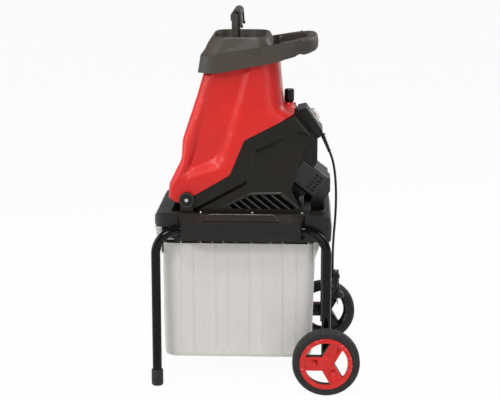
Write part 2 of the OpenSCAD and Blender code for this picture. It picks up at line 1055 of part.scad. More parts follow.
// Ribbed cover over the motor's rear end, with a foot that stands in the well
module motor_cover() {
    slot_w = 3.4;
    rib_w = 2.8;
    ribs = 11;
    side_span = cover_v[1] - cover_v[0] - 2 * cover_corner;
    pitch = side_span / ribs;
    rib_from = -cover_v[1] + cover_corner;
    foot_half = 40;
    foot_low = seat - well_depth;
    color(black_plastic) {
        on_motor_axis()
            difference() {
                union() {
                    translate([0, 0, cover_at])
                        linear_extrude(cover_end - cover_at)
                            polygon(cover_section(0));
                    both_sides()
                        for (i = [0:ribs - 1])
                            translate([rib_from + (i + 0.5) * pitch, -spine_half - cover_rib, cover_at])
                                translate([-rib_w / 2, 0, 0])
                                    cube([rib_w, 4, cover_end - cover_at - 5]);
                }
                translate([0, 0, cover_at - 1])
                    linear_extrude(cover_end - cover_at - 3)
                        polygon(cover_section(4));
                for (i = [0:2:ribs - 3], z = [18, 32])
                    translate([rib_from + (i + 1) * pitch - slot_w / 2, -100, cover_end - z])
                        cube([slot_w, 200, 9]);
            }
        on_deck()
            across(
                [
                    [152, foot_low], [185, foot_low], [185, 8], [204, 36],
                    [204, 69], [194.6, 77.8], [155.6, 25.8], [152, 22]
                ],
                foot_half
            );
    }
}

module motor_plate() {
    bolt_r = 3;
    color(steel)
        on_motor_axis()
            difference() {
                translate([-82, -plate_half, plate_at])
                    cube([172, 2 * plate_half, plate_t]);
                translate([0, 0, plate_at - 1])
                    cylinder(r = shaft_d / 2 + 2, h = plate_t + 2);
                for (a = pillar_angles)
                    rotate([0, 0, a])
                        translate([stator_d / 2 - 6, 0, plate_at - 1])
                            cylinder(r = bolt_r, h = plate_t + 2);
            }
}

// Sheet that turns the chips down into the box and keeps them off the motor
module chip_guide() {
    guide_half = 118;
    color(steel)
        on_deck()
            across(
                [
                    [58, seat], [62, seat], [-30.5, 104.5], [-32.6, 113.1], [-38.6, 105.1]
                ],
                guide_half
            );
}

module stator() {
    bore = stator_d * 0.62;
    foot_w = 10;
    color(steel)
        on_motor_axis() {
            difference() {
                translate([0, 0, stator_at])
                    cylinder(d = stator_d, h = stator_len);
                translate([0, 0, stator_at - 1])
                    cylinder(d = bore, h = stator_len + 2);
            }
            // pillars that stand on the motor plate
            for (a = pillar_angles)
                rotate([0, 0, a])
                    translate([stator_d / 2 - foot_w / 2 - 1, 0, plate_at + plate_t])
                        cylinder(d = foot_w, h = stator_at - plate_at - plate_t + 1);
        }
}

module windings() {
    bore = stator_d * 0.62;
    depth = 12;
    color(copper)
        on_motor_axis()
            for (z = [stator_at - depth - seat, stator_at + stator_len + seat])
                difference() {
                    translate([0, 0, z])
                        cylinder(d = stator_d - 30, h = depth);
                    translate([0, 0, z - 1])
                        cylinder(d = stator_d - 30 - 14, h = depth + 2);
                }
}

module rear_bracket() {
    color(steel)
        on_motor_axis()
            difference() {
                union() {
                    translate([0, 0, bracket_at])
                        cylinder(d = 56, h = bracket_t);
                    for (a = pillar_angles)
                        rotate([0, 0, a]) {
                            translate([stator_d / 2 - 9, 0, stator_at + stator_len + seat])
                                cylinder(d = 8, h = bracket_at - stator_at - stator_len + bracket_t - seat);
                            translate([20, -5, bracket_at])
                                cube([stator_d / 2 - 29, 10, bracket_t]);
                        }
                    translate([0, 0, bracket_at])
                        cylinder(d = 42, h = bracket_t + bearing_w);
                }
                translate([0, 0, bracket_at - 1])
                    cylinder(d = shaft_d + 6, h = 60);
                translate([0, 0, bracket_at + bracket_t])
                    cylinder(d = 35 + 2 * fit, h = 60);
            }
}

module brush_holders() {
    color([0.3, 0.25, 0.2])
        on_motor_axis()
            for (side = [-1, 1])
                translate([-6, side > 0 ? 17 : -17 - 16, bracket_at - 13])
                    cube([12, 16, 13 - seat]);
}

module bearing(bore, outer, at) {
    color(steel)
        on_motor_axis()
            difference() {
                translate([0, 0, at])
                    cylinder(d = outer, h = bearing_w);
                translate([0, 0, at - 1])
                    cylinder(d = bore + 2 * fit, h = bearing_w + 2);
            }
}

module motor_shaft() {
    color(steel)
        on_motor_axis()
            translate([0, 0, -disc_t / 2])
                cylinder(d = shaft_d, h = shaft_end + disc_t / 2);
}

module armature() {
    color([0.5, 0.5, 0.52])
        on_motor_axis()
            difference() {
                translate([0, 0, stator_at + 2])
                    cylinder(d = stator_d * 0.62 - 2, h = stator_len - 4);
                translate([0, 0, stator_at])
                    cylinder(d = shaft_d + 2 * fit, h = stator_len);
                for (a = [0:15:345])
                    rotate([0, 0, a])
                        translate([stator_d * 0.31 - 5, -1, stator_at])
                            cube([8, 2, stator_len]);
            }
}

module commutator() {
    color(copper)
        on_motor_axis()
            difference() {
                translate([0, 0, bracket_at - 14])
                    cylinder(d = 32, h = 12);
                translate([0, 0, bracket_at - 15])
                    cylinder(d = shaft_d + 2 * fit, h = 14);
            }
}

module fan() {
    blades = 9;
    fan_at = 190;
    fan_r = 28;
    color(black_plastic)
        on_motor_axis()
            difference() {
                translate([0, 0, fan_at]) {
                    cylinder(r = fan_r, h = 2);
                    cylinder(d = shaft_d + 8, h = 16);
                    for (i = [0:blades - 1])
                        rotate([0, 0, i * 360 / blades])
                            translate([shaft_d / 2 + 2, -1, 0])
                                cube([fan_r - shaft_d / 2 - 2.5, 2, 14]);
                }
                translate([0, 0, fan_at - 1])
                    cylinder(d = shaft_d + 2 * fit, h = 20);
            }
}

module blade_disc() {
    color(steel)
        on_motor_axis()
            difference() {
                union() {
                    translate([0, 0, -disc_t / 2])
                        cylinder(d = disc_d, h = disc_t);
                    cylinder(d = 40, h = plate_at - 4);
                }
                translate([0, 0, -disc_t])
                    cylinder(d = shaft_d + 2 * fit, h = 60);
                // windows in front of each cutting edge
                for (a = [0, 180])
                    rotate([0, 0, a])
                        translate([34, 4, -disc_t])
                            cube([disc_d / 2 - 46, 16, 2 * disc_t]);
            }
}

blade_t = 4;

module blades() {
    len = disc_d / 2 - 42;
    color([0.8, 0.8, 0.82])
        on_motor_axis()
            for (a = [0, 180])
                rotate([0, 0, a])
                    translate([32, 0, -disc_t / 2 - blade_t - fit])
                        difference() {
                            rotate([90, 0, 90])
                                linear_extrude(len)
                                    polygon([[3, 0], [-30, 0], [-30, blade_t], [-1, blade_t]]);
                            for (x = [len * 0.25, len * 0.75])
                                translate([x, -17, -1])
                                    cylinder(d = 6 + 2 * fit, h = blade_t + 2);
                        }
}

module blade_screws() {
    len = disc_d / 2 - 42;
    color(steel)
        on_motor_axis()
            for (a = [0, 180], x = [len * 0.25, len * 0.75])
                rotate([0, 0, a])
                    translate([32 + x, -17, -disc_t / 2 - blade_t - fit]) {
                        cylinder(d = 6, h = blade_t);
                        translate([0, 0, -2.5])
                            cylinder(d = 10, h = 2.5);
                    }
}

module disc_bolt() {
    color(steel)
        on_motor_axis()
            translate([0, 0, -disc_t / 2 - 6 - fit]) {
                translate([0, 0, 3])
                    cylinder(d = 34, h = 3);
                cylinder(d = 17, h = 4, $fn = 6);
            }
}

// Switch box

switch_outline = [
    spine_top + seat * spine_up, spine_low + seat * spine_up,
    [spine_low[0] + 8, spine_low[1] + 4], [spine_low[0] + 14, spine_low[1] + 14],
    panel_low, panel_top, box_back
];

// Groove under the lid and slot over the gland, on each side of the box
switch_groove = [
    [112, 253.5], [112, 250.5], [133.6, 260.5], [161.3, 224.9], [145, 204], [154, 201],
    [169, 220.5], [163, 227], [134.5, 264]
];

module switch_box() {
    color(black_plastic)
        difference() {
            on_deck()
                across(rounded(switch_outline, [0, 0, 3, 4, 4, 4, 3]), switch_half);
            on_deck()
                across(inset(switch_outline, switch_wall), switch_half - switch_wall);
            on_deck()
                both_sides()
                    translate([0, -switch_half + switch_cut, 0])
                        rotate([90, 0, 0])
                            linear_extrude(switch_cut + 1)
                                polygon(switch_groove);
            // opening for the switch
            on_panel()
                translate([-18, -15, -20])
                    cube([36, 30, 40]);
            // gland hole
            translate(relief_from)
                rotate([0, relief_tilt, 0])
                    translate([0, 0, -30])
                        cylinder(d = 9, h = 60);
        }
}

module switch_bezel() {
    w = 22;
    h = 19;
    color([0.9, 0.9, 0.88])
        on_panel()
            difference() {
                union() {
                    translate([-w, -h, seat])
                        cube([2 * w, 2 * h, 4]);
                    translate([-18 + seat, -15 + seat, -8])
                        cube([36 - 2 * seat, 30 - 2 * seat, 9]);
                }
                translate([-14, -11, -20])
                    cube([28, 22, 40]);
            }
}

module switch_rocker() {
    r = 13;
    color(red_plastic)
        on_panel()
            intersection() {
                translate([0, 0, -5])
                    bar(r, -10.4, 10.4);
                translate([0, 0, 4])
                    cube([25, 30, 18], center = true);
            }
}

module interlock_switch() {
    color([0.15, 0.15, 0.16])
        on_deck()
            translate([knob_x, 0, shelf_h + seat]) {
                translate([-12, -5, 0])
                    cube([24, 10, 16]);
                cylinder(d = 5, h = spindle_low - shelf_h - 2 * seat - 0.3);
            }
}

// Cord

// One step of the ribbed sleeve: a groove and a rib
function relief_rib(r, z) = [[r - 1.3, z], [r - 1.3, z + 3], [r, z + 3.4], [r, z + 6.6]];

module strain_relief() {
    color(dark_rubber)
        translate(relief_from)
            rotate([0, relief_tilt, 0])
                rotate_extrude()
                    polygon([
                        [0, -6], [4, -6], [4, 0], [8, 0], [8, 4],
                        for (i = [0:5])
                            each relief_rib(6 - 0.24 * i, 6 + 7 * i),
                        [cord_d / 2 + 0.8, relief_len], [0, relief_len]
                    ]);
}

module mains_cord() {
    color(dark_rubber)
        sweep(cord_points, cord_d / 2, 8);
}

hank_path = [
    hank_from, hank_from - [0, 0, hank_lead],
    for (i = [1:24 * hank_turns])
        let (a = 360 * i / 24)
        hank_from + [hank_pitch * i / 24, hank_r * (cos(a) - 1), -hank_lead - hank_r * sin(a)],
    hank_to
];

// Least space between two turns of the hank
hank_gap = min([
    for (i = [0:len(hank_path) - 1], j = [0:len(hank_path) - 1])
        if (j - i > 8) norm(hank_path[i] - hank_path[j])
]) - cord_d;
echo(hank_gap = hank_gap);

module cord_hank() {
    color(dark_rubber)
        sweep(hank_path, cord_d / 2, 6);
}

module cord_tie() {
    gap = 0.4;
    wall = 1.6;
    r = cord_d / 2 + gap;
    run = hank_turns * hank_pitch;
    color([0.1, 0.1, 0.1])
        translate(hank_from - [0, 0, hank_lead + 4])
            linear_extrude(8)
                difference() {
                    translate([-r - wall, -r - wall])
                        square([run + 2 * r + 2 * wall, 2 * r + 2 * wall]);
                    translate([-r, -r])
                        square([run + 2 * r, 2 * r]);
                }
}

module plug_body() {
    color([0.1, 0.1, 0.1])
        translate([hank_to[0], 0, plug_top])
            rotate_extrude()
                polygon([
                    [0, 0], [cord_d / 2 + 1.5, 0], [cord_d / 2 + 2.5, -12], [plug_d / 2 - 2, -20],
                    [plug_d / 2, -23], [plug_d / 2, -plug_h + 2], [plug_d / 2 - 1.5, -plug_h], [0, -plug_h]
                ]);
}

module plug_pins() {
    color(steel)
        for (y = [-9.5, 9.5])
            translate([hank_to[0], y, plug_top - plug_h - pin_len]) {
                translate([0, 0, 2])
                    cylinder(d = 4.8, h = pin_len - 2);
                cylinder(d1 = 3, d2 = 4.8, h = 2);
            }
}

// Hopper

module hinge_screw(side) {
    inner = ear_y - 22;
    color([0.85, 0.85, 0.86])
        on_deck()
            translate([pivot[0], 0, pivot[1]])
                mirror([0, side > 0 ? 0 : 1, 0]) {
                    bar(hinge_d / 2, inner, ear_y + ear_t);
                    bar(hinge_d / 2 + 2.5, ear_y + ear_t, ear_y + ear_t + 3);
                }
}

// Stations up the hopper: height, front, rear, front and rear corner radius
hopper_stations = [
    [22, -230, 110, 14, 50], [67, -230, 110, 16, 50], [136, -196.5, 110, 24, 50], [188, -194, 110, 28, 50],
    [256, -171.5, 108, 30, 50], [260, -170, 103, 30, 50], [264, -168.5, 95, 31, 50],
    [268, -167.5, 86.5, 31, 48], [272, -166.5, 79.5, 32, 47], [277, -165, 75, 32, 46], [300, -157, 72, 34, 46],
    [362, -135.5, 66, 38, 46], [414, -118, 61, 40, 46]
];

module hopper_loft(d) {
    loft([
        for (s = hopper_stations)
            plan_ring(s[1] + d, s[2] - d, half_at(s[0]) - d, s[3] - d / 2, s[0], 0, s[4] - d / 2)
    ]);
}

// Sunken panel on each side of the hopper, its edges on the skin and on the floor
panel_rim = rounded(
    [[-203, 84], [-98, 117], [-78, 150], [-54, 226], [-5, 400], [-117, 400], [-174, 164]],
    [14, 26, 30, 40, 4, 4, 40]
);
panel_floor = rounded(
    [[-178, 101], [-108, 132], [-91, 156], [-68, 226], [-19, 400], [-99, 400], [-156, 164]],
    [8, 14, 24, 30, 3, 3, 30]
);

module hopper_form(d) {
    over = 3;
    rim = inset(panel_rim, -d);
    base = inset(panel_floor, -d);
    difference() {
        hopper_loft(d);
        both_sides()
            on_side()
                loft([
                    [for (p = base) [p[0], p[1], -hopper_sink - d]],
                    [
                        for (i = [0:len(rim) - 1])
                            let (p = rim[i] + (rim[i] - base[i]) * over / hopper_sink)
                            [p[0], p[1], over - d]
                    ]
                ]);
    }
}

// Everything above the parting line, kept higher than it by gap
function above_parting(gap) = [
    [-260, 23], [-205, 23], part_a + [0, gap],
    each corner(part_a, part_b, part_c, 14),
    each corner(part_b, part_c, part_d, 16),
    part_d + [0, gap], [140, part_d[1] + gap], [140, 470], [-260, 470]
];

module hopper() {
    color(red_plastic)
        on_deck()
            difference() {
                intersection() {
                    union() {
                        difference() {
                            hopper_form(0);
                            hopper_form(shell_wall);
                        }
                        // hinge bosses inside the foot
                        both_sides()
                            translate([pivot[0], 0, pivot[1]])
                                bar(hinge_boss_r, ear_y - 24, ear_y - 3);
                        // boss under the lock knob
                        translate([knob_x, 0, part_d[1] - 12])
                            cylinder(r = tongue_r, h = 12);
                        translate([knob_x, 0, part_d[1]])
                            cylinder(r1 = tongue_r, r2 = boss_r, h = boss_top - part_d[1]);
                    }
                    across(above_parting(parting_gap), 300);
                    across([[-260, 0], [140, 0], [140, hopper_edge(140)], [-260, hopper_edge(-260)]], 300);
                }
                translate([pivot[0], 0, pivot[1]])
                    bar(hinge_d / 2 + fit, -300, 300);
                translate([knob_x, 0, 200])
                    cylinder(d = spindle_d + 2 * fit, h = 100);
            }
}

// Collar

function hopper_edge(x) = hopper_top[1] + hopper_slope * (x - hopper_top[0]);

function collar_high(x) = 437 + collar_tilt * x;

// Rounded rectangle in plan, with its own corner radius at each end
module plan_plate(x0, x1, half, r0, r1) {
    polygon(rounded([[x0, -half], [x1, -half], [x1, half], [x0, half]], [r0, r1, r1, r0]));
}

// Slab between two sloping heights over the hopper's upper edge
module edge_slab(low, high) {
    across(
        [
            [-200, hopper_edge(-200) + low], [200, hopper_edge(200) + low],
            [200, hopper_edge(200) + high], [-200, hopper_edge(-200) + high]
        ],
        300
    );
}

// Middle line of the carrying grip, a bow round the rear of the collar
grip_path = [
    [60, -grip_y], [68, -grip_y],
    for (i = [0:10]) [grip_x - grip_bend, -grip_y + grip_bend] + grip_bend * [sin(i * 9), -cos(i * 9)],
    for (i = [10:-1:0]) [grip_x - grip_bend, grip_y - grip_bend] + grip_bend * [sin(i * 9), cos(i * 9)],
    [68, grip_y], [60, grip_y]
];

// Boxy where it leaves the band, round at its rear end
module carrying_grip() {
    last = len(grip_path) - 1;
    loft([
        for (i = [0:last])
            let (p = grip_path[i], t = unit(grip_path[min(i + 1, last)] - grip_path[max(i - 1, 0)]))
            let (bow = max(0, min(1, (p[0] - 80) / (grip_x - 80))))
            let (low = hopper_edge(p[0]) + 5 * bow, high = collar_high(p[0]) - 1.2 - 2 * bow)
            let (power = 0.4 + 0.4 * bow)
            [
                for (j = [0:19])
                    let (a = 18 * j + 9, c = cos(a), s = sin(a))
                    let (w = grip_w / 2 * sign(c) * pow(abs(c), power))
                    let (h = (high - low) / 2 * sign(s) * pow(abs(s), power))
                    [p[0] - t[1] * w, p[1] + t[0] * w, (low + high) / 2 + h]
            ]
    ]);
}

module feed_collar() {
    floor_t = 4;
    rail_from = 70;
    color(black_plastic)
        on_deck() {
            // band with the handle loop, its skin cut off round before the grip
            intersection() {
                translate([0, 0, 300])
                    linear_extrude(200)
                        difference() {
                            plan_plate(collar_front, collar_rear, collar_half, 48, 96);
                            plan_plate(
                                collar_front + collar_wall, rail_from,
                                collar_half - collar_wall, 44, 20
                            );
                            plan_plate(loop_front, loop_rear, loop_half, 20, 66);
                        }
                across(
                    [
                        [-200, hopper_edge(-200) - 3], [skin_end - 20, hopper_edge(skin_end - 20) - 3],
                        [skin_end, hopper_edge(skin_end) + 12], [skin_end + 4, collar_high(skin_end) - 14],
                        [skin_end - 2, collar_high(skin_end - 2)], [-200, collar_high(-200)]
                    ],
                    300
                );
            }
            // floor that rests on the hopper's upper edge
            intersection() {
                translate([0, 0, 300])
                    linear_extrude(200)
                        difference() {
                            plan_plate(collar_front + 1.5, rail_from + 4, collar_half - 1.5, 46, 20);
                            plan_plate(-104, 18, rim_half - 14, 12, 12);
                        }
                edge_slab(seat, seat + floor_t);
            }
            carrying_grip();
            // funnel wall from the floor to the rim
            difference() {
                funnel_wall(0, 2, 0);
                funnel_wall(collar_wall, 1, 0.1);
            }
        }
}

// Tube that stands on the collar's floor and closes in to the rim
module funnel_wall(d, base, up) {
    x0 = collar_front + 2 + d;
    low = hopper_edge(0) + base;
    crease = collar_high(0) - 6;
    loft([
        plan_ring(x0, loop_front - d, collar_half - 2.5 - d, 45 - d, low, hopper_slope),
        plan_ring(x0, loop_front - d, collar_half - 2.5 - d, 45 - d, crease, collar_tilt),
        plan_ring(rim_x[0] + d, rim_x[1] - d, rim_half - d, 40 - d, rim_h + up)
    ]);
}

// Mouth, throat and shaft of the chute, grown by d
module chute_form(d) {
    mouth = collar_wall + seat + chute_wall - d;
    loft([
        plan_ring(chute_low_x[0] - d, chute_low_x[1] + d, throat_half - 2 + d, 10, chute_low_h),
        plan_ring(throat_x[0] - d, throat_x[1] + d, throat_half + d, 10, throat_h),
        plan_ring(rim_x[0] + mouth, rim_x[1] - mouth, rim_half - mouth, 37, rim_h)
    ]);
}

module feed_chute() {
    color(black_plastic)
        difference() {
            on_deck()
                chute_form(chute_wall);
            on_deck()
                translate([0, 0, 0.1])
                    chute_form(0);
            // lower end cut parallel to the blade disc
            on_motor_axis()
                translate([-300, -300, -chute_cut])
                    cube([600, 600, 400]);
        }
}

// Anvil on the chute's side wall, just before the knives
module counter_blade() {
    color([0.8, 0.8, 0.82])
        on_motor_axis()
            translate([14, throat_half + chute_wall + seat - 1.2, -30])
                cube([70, 6, 30 - knife_gap]);
}

module lock_knob() {
    flutes = 8;
    color(black_plastic)
        on_deck()
            translate([knob_x, 0, boss_top + seat])
                difference() {
                    union() {
                        cylinder(r1 = knob_r - 2, r2 = knob_r, h = 4);
                        translate([0, 0, 4])
                            cylinder(r = knob_r, h = knob_h - 7);
                        translate([0, 0, knob_h - 3])
                            cylinder(r1 = knob_r, r2 = knob_r - 3, h = 3);
                    }
                    for (i = [0:flutes - 1])
                        rotate([0, 0, i * 360 / flutes])
                            translate([knob_r + 2, 0, 5])
                                cylinder(r = 3.6, h = knob_h);
                    translate([0, 0, -1])
                        cylinder(d = spindle_d + 2 * fit, h = 16);
                }
}

module lock_spindle() {
    color(steel)
        on_deck()
            translate([knob_x, 0, spindle_low])
                cylinder(d = spindle_d, h = boss_top + seat + 14 - spindle_low);
}

// Tamper, a ribbed blade that ends in a hooked grip

module tamper() {
    crown_r = hook_w / 2;
    crown = hook_top - crown_r;
    prong = 34;
    prong_w = 22;
    wall = 5;
    mouth_half = rim_half - collar_wall - seat - chute_wall;
    spread = (mouth_half - throat_half) / (rim_h - throat_h);
    ear = [throat_h + 14, throat_h + 46];
    color(black_plastic)
        on_deck() {
            rotate([90, 0, 0])
                linear_extrude(2 * tamper_half, center = true) {
                    translate([tamper_x, tamper_low])
                        square([tamper_t, crown - tamper_low]);
                    intersection() {
                        difference() {
                            translate([tamper_x + crown_r, crown])
                                circle(r = crown_r);
                            translate([tamper_x + crown_r, crown])
                                circle(r = crown_r - wall);
                        }
                        translate([tamper_x, crown - 1])
                            square([hook_w, crown_r + 1]);
                    }
                }
            // two prongs with a nub, one at each end of the hooked grip
            both_sides()
                translate([tamper_x + hook_w, -tamper_half + prong_w, crown])
                    rotate([90, 0, 0])
                        linear_extrude(prong_w)
                            polygon([
                                [-wall, 0], [2 - wall, -prong], [2, -prong - 3], [5, -prong + 2],
                                [2, -prong + 5], [0, 0]
                            ]);
            // thumb pad on the back of the head
            across(
                [
                    [tamper_x + 1, crown - 19], [tamper_x - 3, crown - 15],
                    [tamper_x - 3, crown - 1], [tamper_x + 1, crown + 3]
                ],
                tamper_half
            );
            // stiffening ribs and the foot that pushes the twigs
            for (y = [-tamper_half, -tamper_half / 3, tamper_half / 3 - 4, tamper_half - 4])
                translate([tamper_x + tamper_t - 1, y, tamper_low])
                    cube([9, 4, crown - tamper_low + 4]);
            translate([tamper_x, -tamper_half, tamper_low])
                cube([hook_w - 4, 2 * tamper_half, 6]);
            // ears that rest on the slope of the mouth
            both_sides()
                translate([tamper_x, 0, 0])
                    along(
                        [
                            [tamper_half - 4, ear[0]],
                            [throat_half + (ear[0] - throat_h) * spread - ear_gap, ear[0]],
                            [throat_half + (ear[1] - throat_h) * spread - ear_gap, ear[1]],
                            [tamper_half - 4, ear[1] + 16]
                        ],
                        0, tamper_t
                    );
        }
}

leg_frame(-1);  // left_leg_frame
leg_frame(1);  // right_leg_frame
foot(-1);  // left_foot
foot(1);  // right_foot
tube_clamps();
axle();
axle_spacers();
axle_retainers();
tyre(-1);  // left_tyre
wheel_core(-1);  // left_wheel_core
hub_cover(-1);  // left_hub_cover
tyre(1);  // right_tyre
wheel_core(1);  // right_wheel_core
hub_cover(1);  // right_hub_cover
base_tray();
rail(-1);  // left_rail
rail(1);  // right_rail
collection_box();
lower_housing();
motor_cover();
motor_plate();
chip_guide();
stator();
windings();
rear_bracket();
brush_holders();
bearing(shaft_d, 35, front_bearing_at);  // front_bearing
bearing(shaft_d, 35, bracket_at + bracket_t);  // rear_bearing
motor_shaft();
armature();
commutator();
fan();
blade_disc();
blades();
blade_screws();
disc_bolt();
housing_screws();
switch_box();
switch_bezel();
switch_rocker();
interlock_switch();
strain_relief();
mains_cord();
cord_hank();
cord_tie();
plug_body();
plug_pins();
hinge_screw(-1);  // left_hinge_screw
hinge_screw(1);  // right_hinge_screw
hopper();
feed_collar();
feed_chute();
counter_blade();
lock_knob();
lock_spindle();
tamper();
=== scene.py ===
"""Looks of the garden shredder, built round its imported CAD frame.

Shapes are drawn in millimetres and handed to Blender in metres. X runs to the rear, the side that the photograph
shows is -Y and is called left, and heights named h are taken from the deck of the base tray.
"""
import json
import math

import bmesh
import bpy
import numpy as np
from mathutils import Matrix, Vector
from mathutils.bvhtree import BVHTree

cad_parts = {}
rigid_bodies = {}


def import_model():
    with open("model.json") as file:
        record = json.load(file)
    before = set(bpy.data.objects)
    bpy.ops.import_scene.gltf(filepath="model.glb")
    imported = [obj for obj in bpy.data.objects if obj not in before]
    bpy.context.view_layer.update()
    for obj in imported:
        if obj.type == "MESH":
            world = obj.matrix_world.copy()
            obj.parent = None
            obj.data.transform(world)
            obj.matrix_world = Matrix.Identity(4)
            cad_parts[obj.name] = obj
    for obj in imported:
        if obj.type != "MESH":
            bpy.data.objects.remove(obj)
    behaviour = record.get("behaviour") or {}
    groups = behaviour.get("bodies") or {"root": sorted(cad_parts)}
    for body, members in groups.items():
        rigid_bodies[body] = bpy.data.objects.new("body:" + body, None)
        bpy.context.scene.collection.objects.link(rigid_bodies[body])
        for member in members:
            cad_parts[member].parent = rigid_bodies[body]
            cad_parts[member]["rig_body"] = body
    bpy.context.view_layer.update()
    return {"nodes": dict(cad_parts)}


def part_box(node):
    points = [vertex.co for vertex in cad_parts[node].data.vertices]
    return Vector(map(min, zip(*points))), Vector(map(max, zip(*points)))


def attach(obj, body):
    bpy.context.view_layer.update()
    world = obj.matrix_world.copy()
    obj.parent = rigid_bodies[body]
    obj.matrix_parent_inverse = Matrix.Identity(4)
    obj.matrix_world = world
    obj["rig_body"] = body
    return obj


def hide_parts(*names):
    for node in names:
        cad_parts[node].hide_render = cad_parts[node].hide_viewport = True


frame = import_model()
nodes = frame["nodes"]
scene = bpy.context.scene
scene.view_settings.view_transform = "Standard"

# Camera at the photograph's place, with angles in degrees

camera_dip, camera_turn = 12.3, 2.4
camera_data = bpy.data.cameras.new("camera")
camera_data.sensor_width = 36.0
camera_data.lens = 100.8
camera = bpy.data.objects.new("camera", camera_data)
camera.location = (0.1417, -3.7954, 1.3047)
camera.rotation_euler = (math.radians(90 - camera_dip), 0.0, math.radians(camera_turn))
scene.collection.objects.link(camera)
scene.camera = camera


# Materials

class Shader:
    """One Principled material and the small node chains that feed it."""

    def __init__(self, name, color, roughness, **sockets):
        self.material = bpy.data.materials.new(name)
        self.material.use_nodes = True
        self.tree = self.material.node_tree
        self.bsdf = self.tree.nodes["Principled BSDF"]
        self.color = color
        self.bsdf.inputs["Base Color"].default_value = (*color, 1.0)
        self.bsdf.inputs["Roughness"].default_value = roughness
        for socket, value in sockets.items():
            self.bsdf.inputs[socket.replace("_", " ")].default_value = value
        self.coords = self.tree.nodes.new("ShaderNodeTexCoord").outputs["Object"]

    def link(self, source, target):
        self.tree.links.new(source, target)

    def stretched(self, scale):
        """Object coordinates scaled along each axis."""
        mapping = self.tree.nodes.new("ShaderNodeMapping")
        mapping.inputs["Scale"].default_value = scale
        self.link(self.coords, mapping.inputs["Vector"])
        return mapping.outputs["Vector"]

    def noise(self, scale, detail, vector=None):
        noise = self.tree.nodes.new("ShaderNodeTexNoise")
        noise.inputs["Scale"].default_value = scale
        noise.inputs["Detail"].default_value = detail
        self.link(vector or self.coords, noise.inputs["Vector"])
        return noise.outputs["Fac"]

    def product(self, first, second):
        times = self.tree.nodes.new("ShaderNodeMath")
        times.operation = "MULTIPLY"
        self.link(first, times.inputs[0])
        self.link(second, times.inputs[1])
        return times.outputs["Value"]

    def ramp(self, value, spread, low, high):
        """Colour that runs from low to high while the value runs over the spread."""
        ramp = self.tree.nodes.new("ShaderNodeValToRGB")
        self.link(value, ramp.inputs["Fac"])
        for element, place, color in zip(ramp.color_ramp.elements, spread, (low, high)):
            element.position = place
            element.color = (*color, 1.0)
        return ramp.outputs["Color"]

    def tone(self, value, low, high, spread=(0.3, 0.7)):
        """Colour between two multiples of the base colour."""
        colors = [[c * share for c in self.color] for share in (low, high)]
        self.link(self.ramp(value, spread, *colors), self.bsdf.inputs["Base Color"])

    def gloss(self, value, low, high):
        """Roughness between two values."""
        self.link(self.ramp(value, (0.3, 0.7), [low] * 3, [high] * 3), self.bsdf.inputs["Roughness"])

    def bump(self, *layers):
        """Bump layers of (value, strength, depth in metres), the finest last."""
        normal = None
        for value, strength, depth in layers:
            bump = self.tree.nodes.new("ShaderNodeBump")
            bump.inputs["Strength"].default_value = strength
            bump.inputs["Distance"].default_value = depth
            self.link(value, bump.inputs["Height"])
            if normal:
                self.link(normal, bump.inputs["Normal"])
            normal = bump.outputs["Normal"]
        self.link(normal, self.bsdf.inputs["Normal"])


def moulded(name, color, roughness, grain, depth, hatch=0.0, **sockets):
    """Spark eroded plastic: fine grain, slow change of tone and gloss, upright hatching where it has some."""
    shader = Shader(name, color, roughness, **sockets)
    shader.tone(shader.noise(9, 3), 0.9, 1.1)
    shader.gloss(shader.noise(26, 4), roughness - 0.05, roughness + 0.06)
    layers = [(shader.noise(14, 2), 0.12, 0.0006), (shader.noise(grain, 3), 0.3, depth)]
    if hatch:
        layers.insert(1, (shader.noise(420, 2, shader.stretched((1.0, 1.0, 0.04))), 0.3, hatch))
    shader.bump(*layers)
    return shader.material


def rubbery(name, color, roughness, grain, depth):
    """Dull rubber or soft vinyl with a visible grain."""
    shader = Shader(name, color, roughness, Specular_IOR_Level=0.35)
    shader.tone(shader.noise(40, 5), 0.8, 1.25)
    shader.gloss(shader.noise(120, 3), roughness - 0.1, roughness + 0.1)
    shader.bump((shader.noise(grain, 4), 0.4, depth))
    return shader.material


def metal(name, color, roughness, scale, stretch, depth):
    """Bare metal with the fine lines of its making."""
    shader = Shader(name, color, roughness, Metallic=1.0)
    lines = shader.noise(scale, 4, shader.stretched(stretch))
    shader.tone(lines, 0.85, 1.1)
    shader.gloss(lines, roughness - 0.08, roughness + 0.12)
    shader.bump((lines, 0.25, depth))
    return shader.material


def painted_tube():
    """Gloss stoving paint with a faint orange peel."""
    shader = Shader("tube_paint", (0.0014, 0.0011, 0.0009), 0.08, Specular_IOR_Level=0.2)
    shader.tone(shader.noise(30, 4), 0.8, 1.4)
    shader.gloss(shader.noise(60, 4), 0.06, 0.12)
    shader.bump((shader.noise(220, 3), 0.04, 0.0002))
    return shader.material


def milky_box():
    """Frosted polypropylene with faint upright flow streaks and a cloudy depth."""
    shader = Shader("milky_plastic", (0.68, 0.662, 0.625), 0.48, Transmission_Weight=0.08, IOR=1.45)
    streaks = shader.noise(26, 3, shader.stretched((1.0, 1.0, 0.03)))
    shader.tone(shader.product(streaks, shader.noise(4, 2)), 0.965, 1.035, (0.12, 0.42))
    shader.gloss(streaks, 0.42, 0.54)
    shader.bump((streaks, 0.1, 0.0008), (shader.noise(1600, 2), 0.2, 0.0001))
    return shader.material


def clear_cover():
    """Soft clear vinyl, a little uneven."""
    shader = Shader("clear_vinyl", (0.96, 0.95, 0.93), 0.1, Transmission_Weight=0.92, IOR=1.38)
    shader.gloss(shader.noise(90, 3), 0.06, 0.12)
    shader.bump((shader.noise(60, 1), 0.1, 0.0003))
    return shader.material


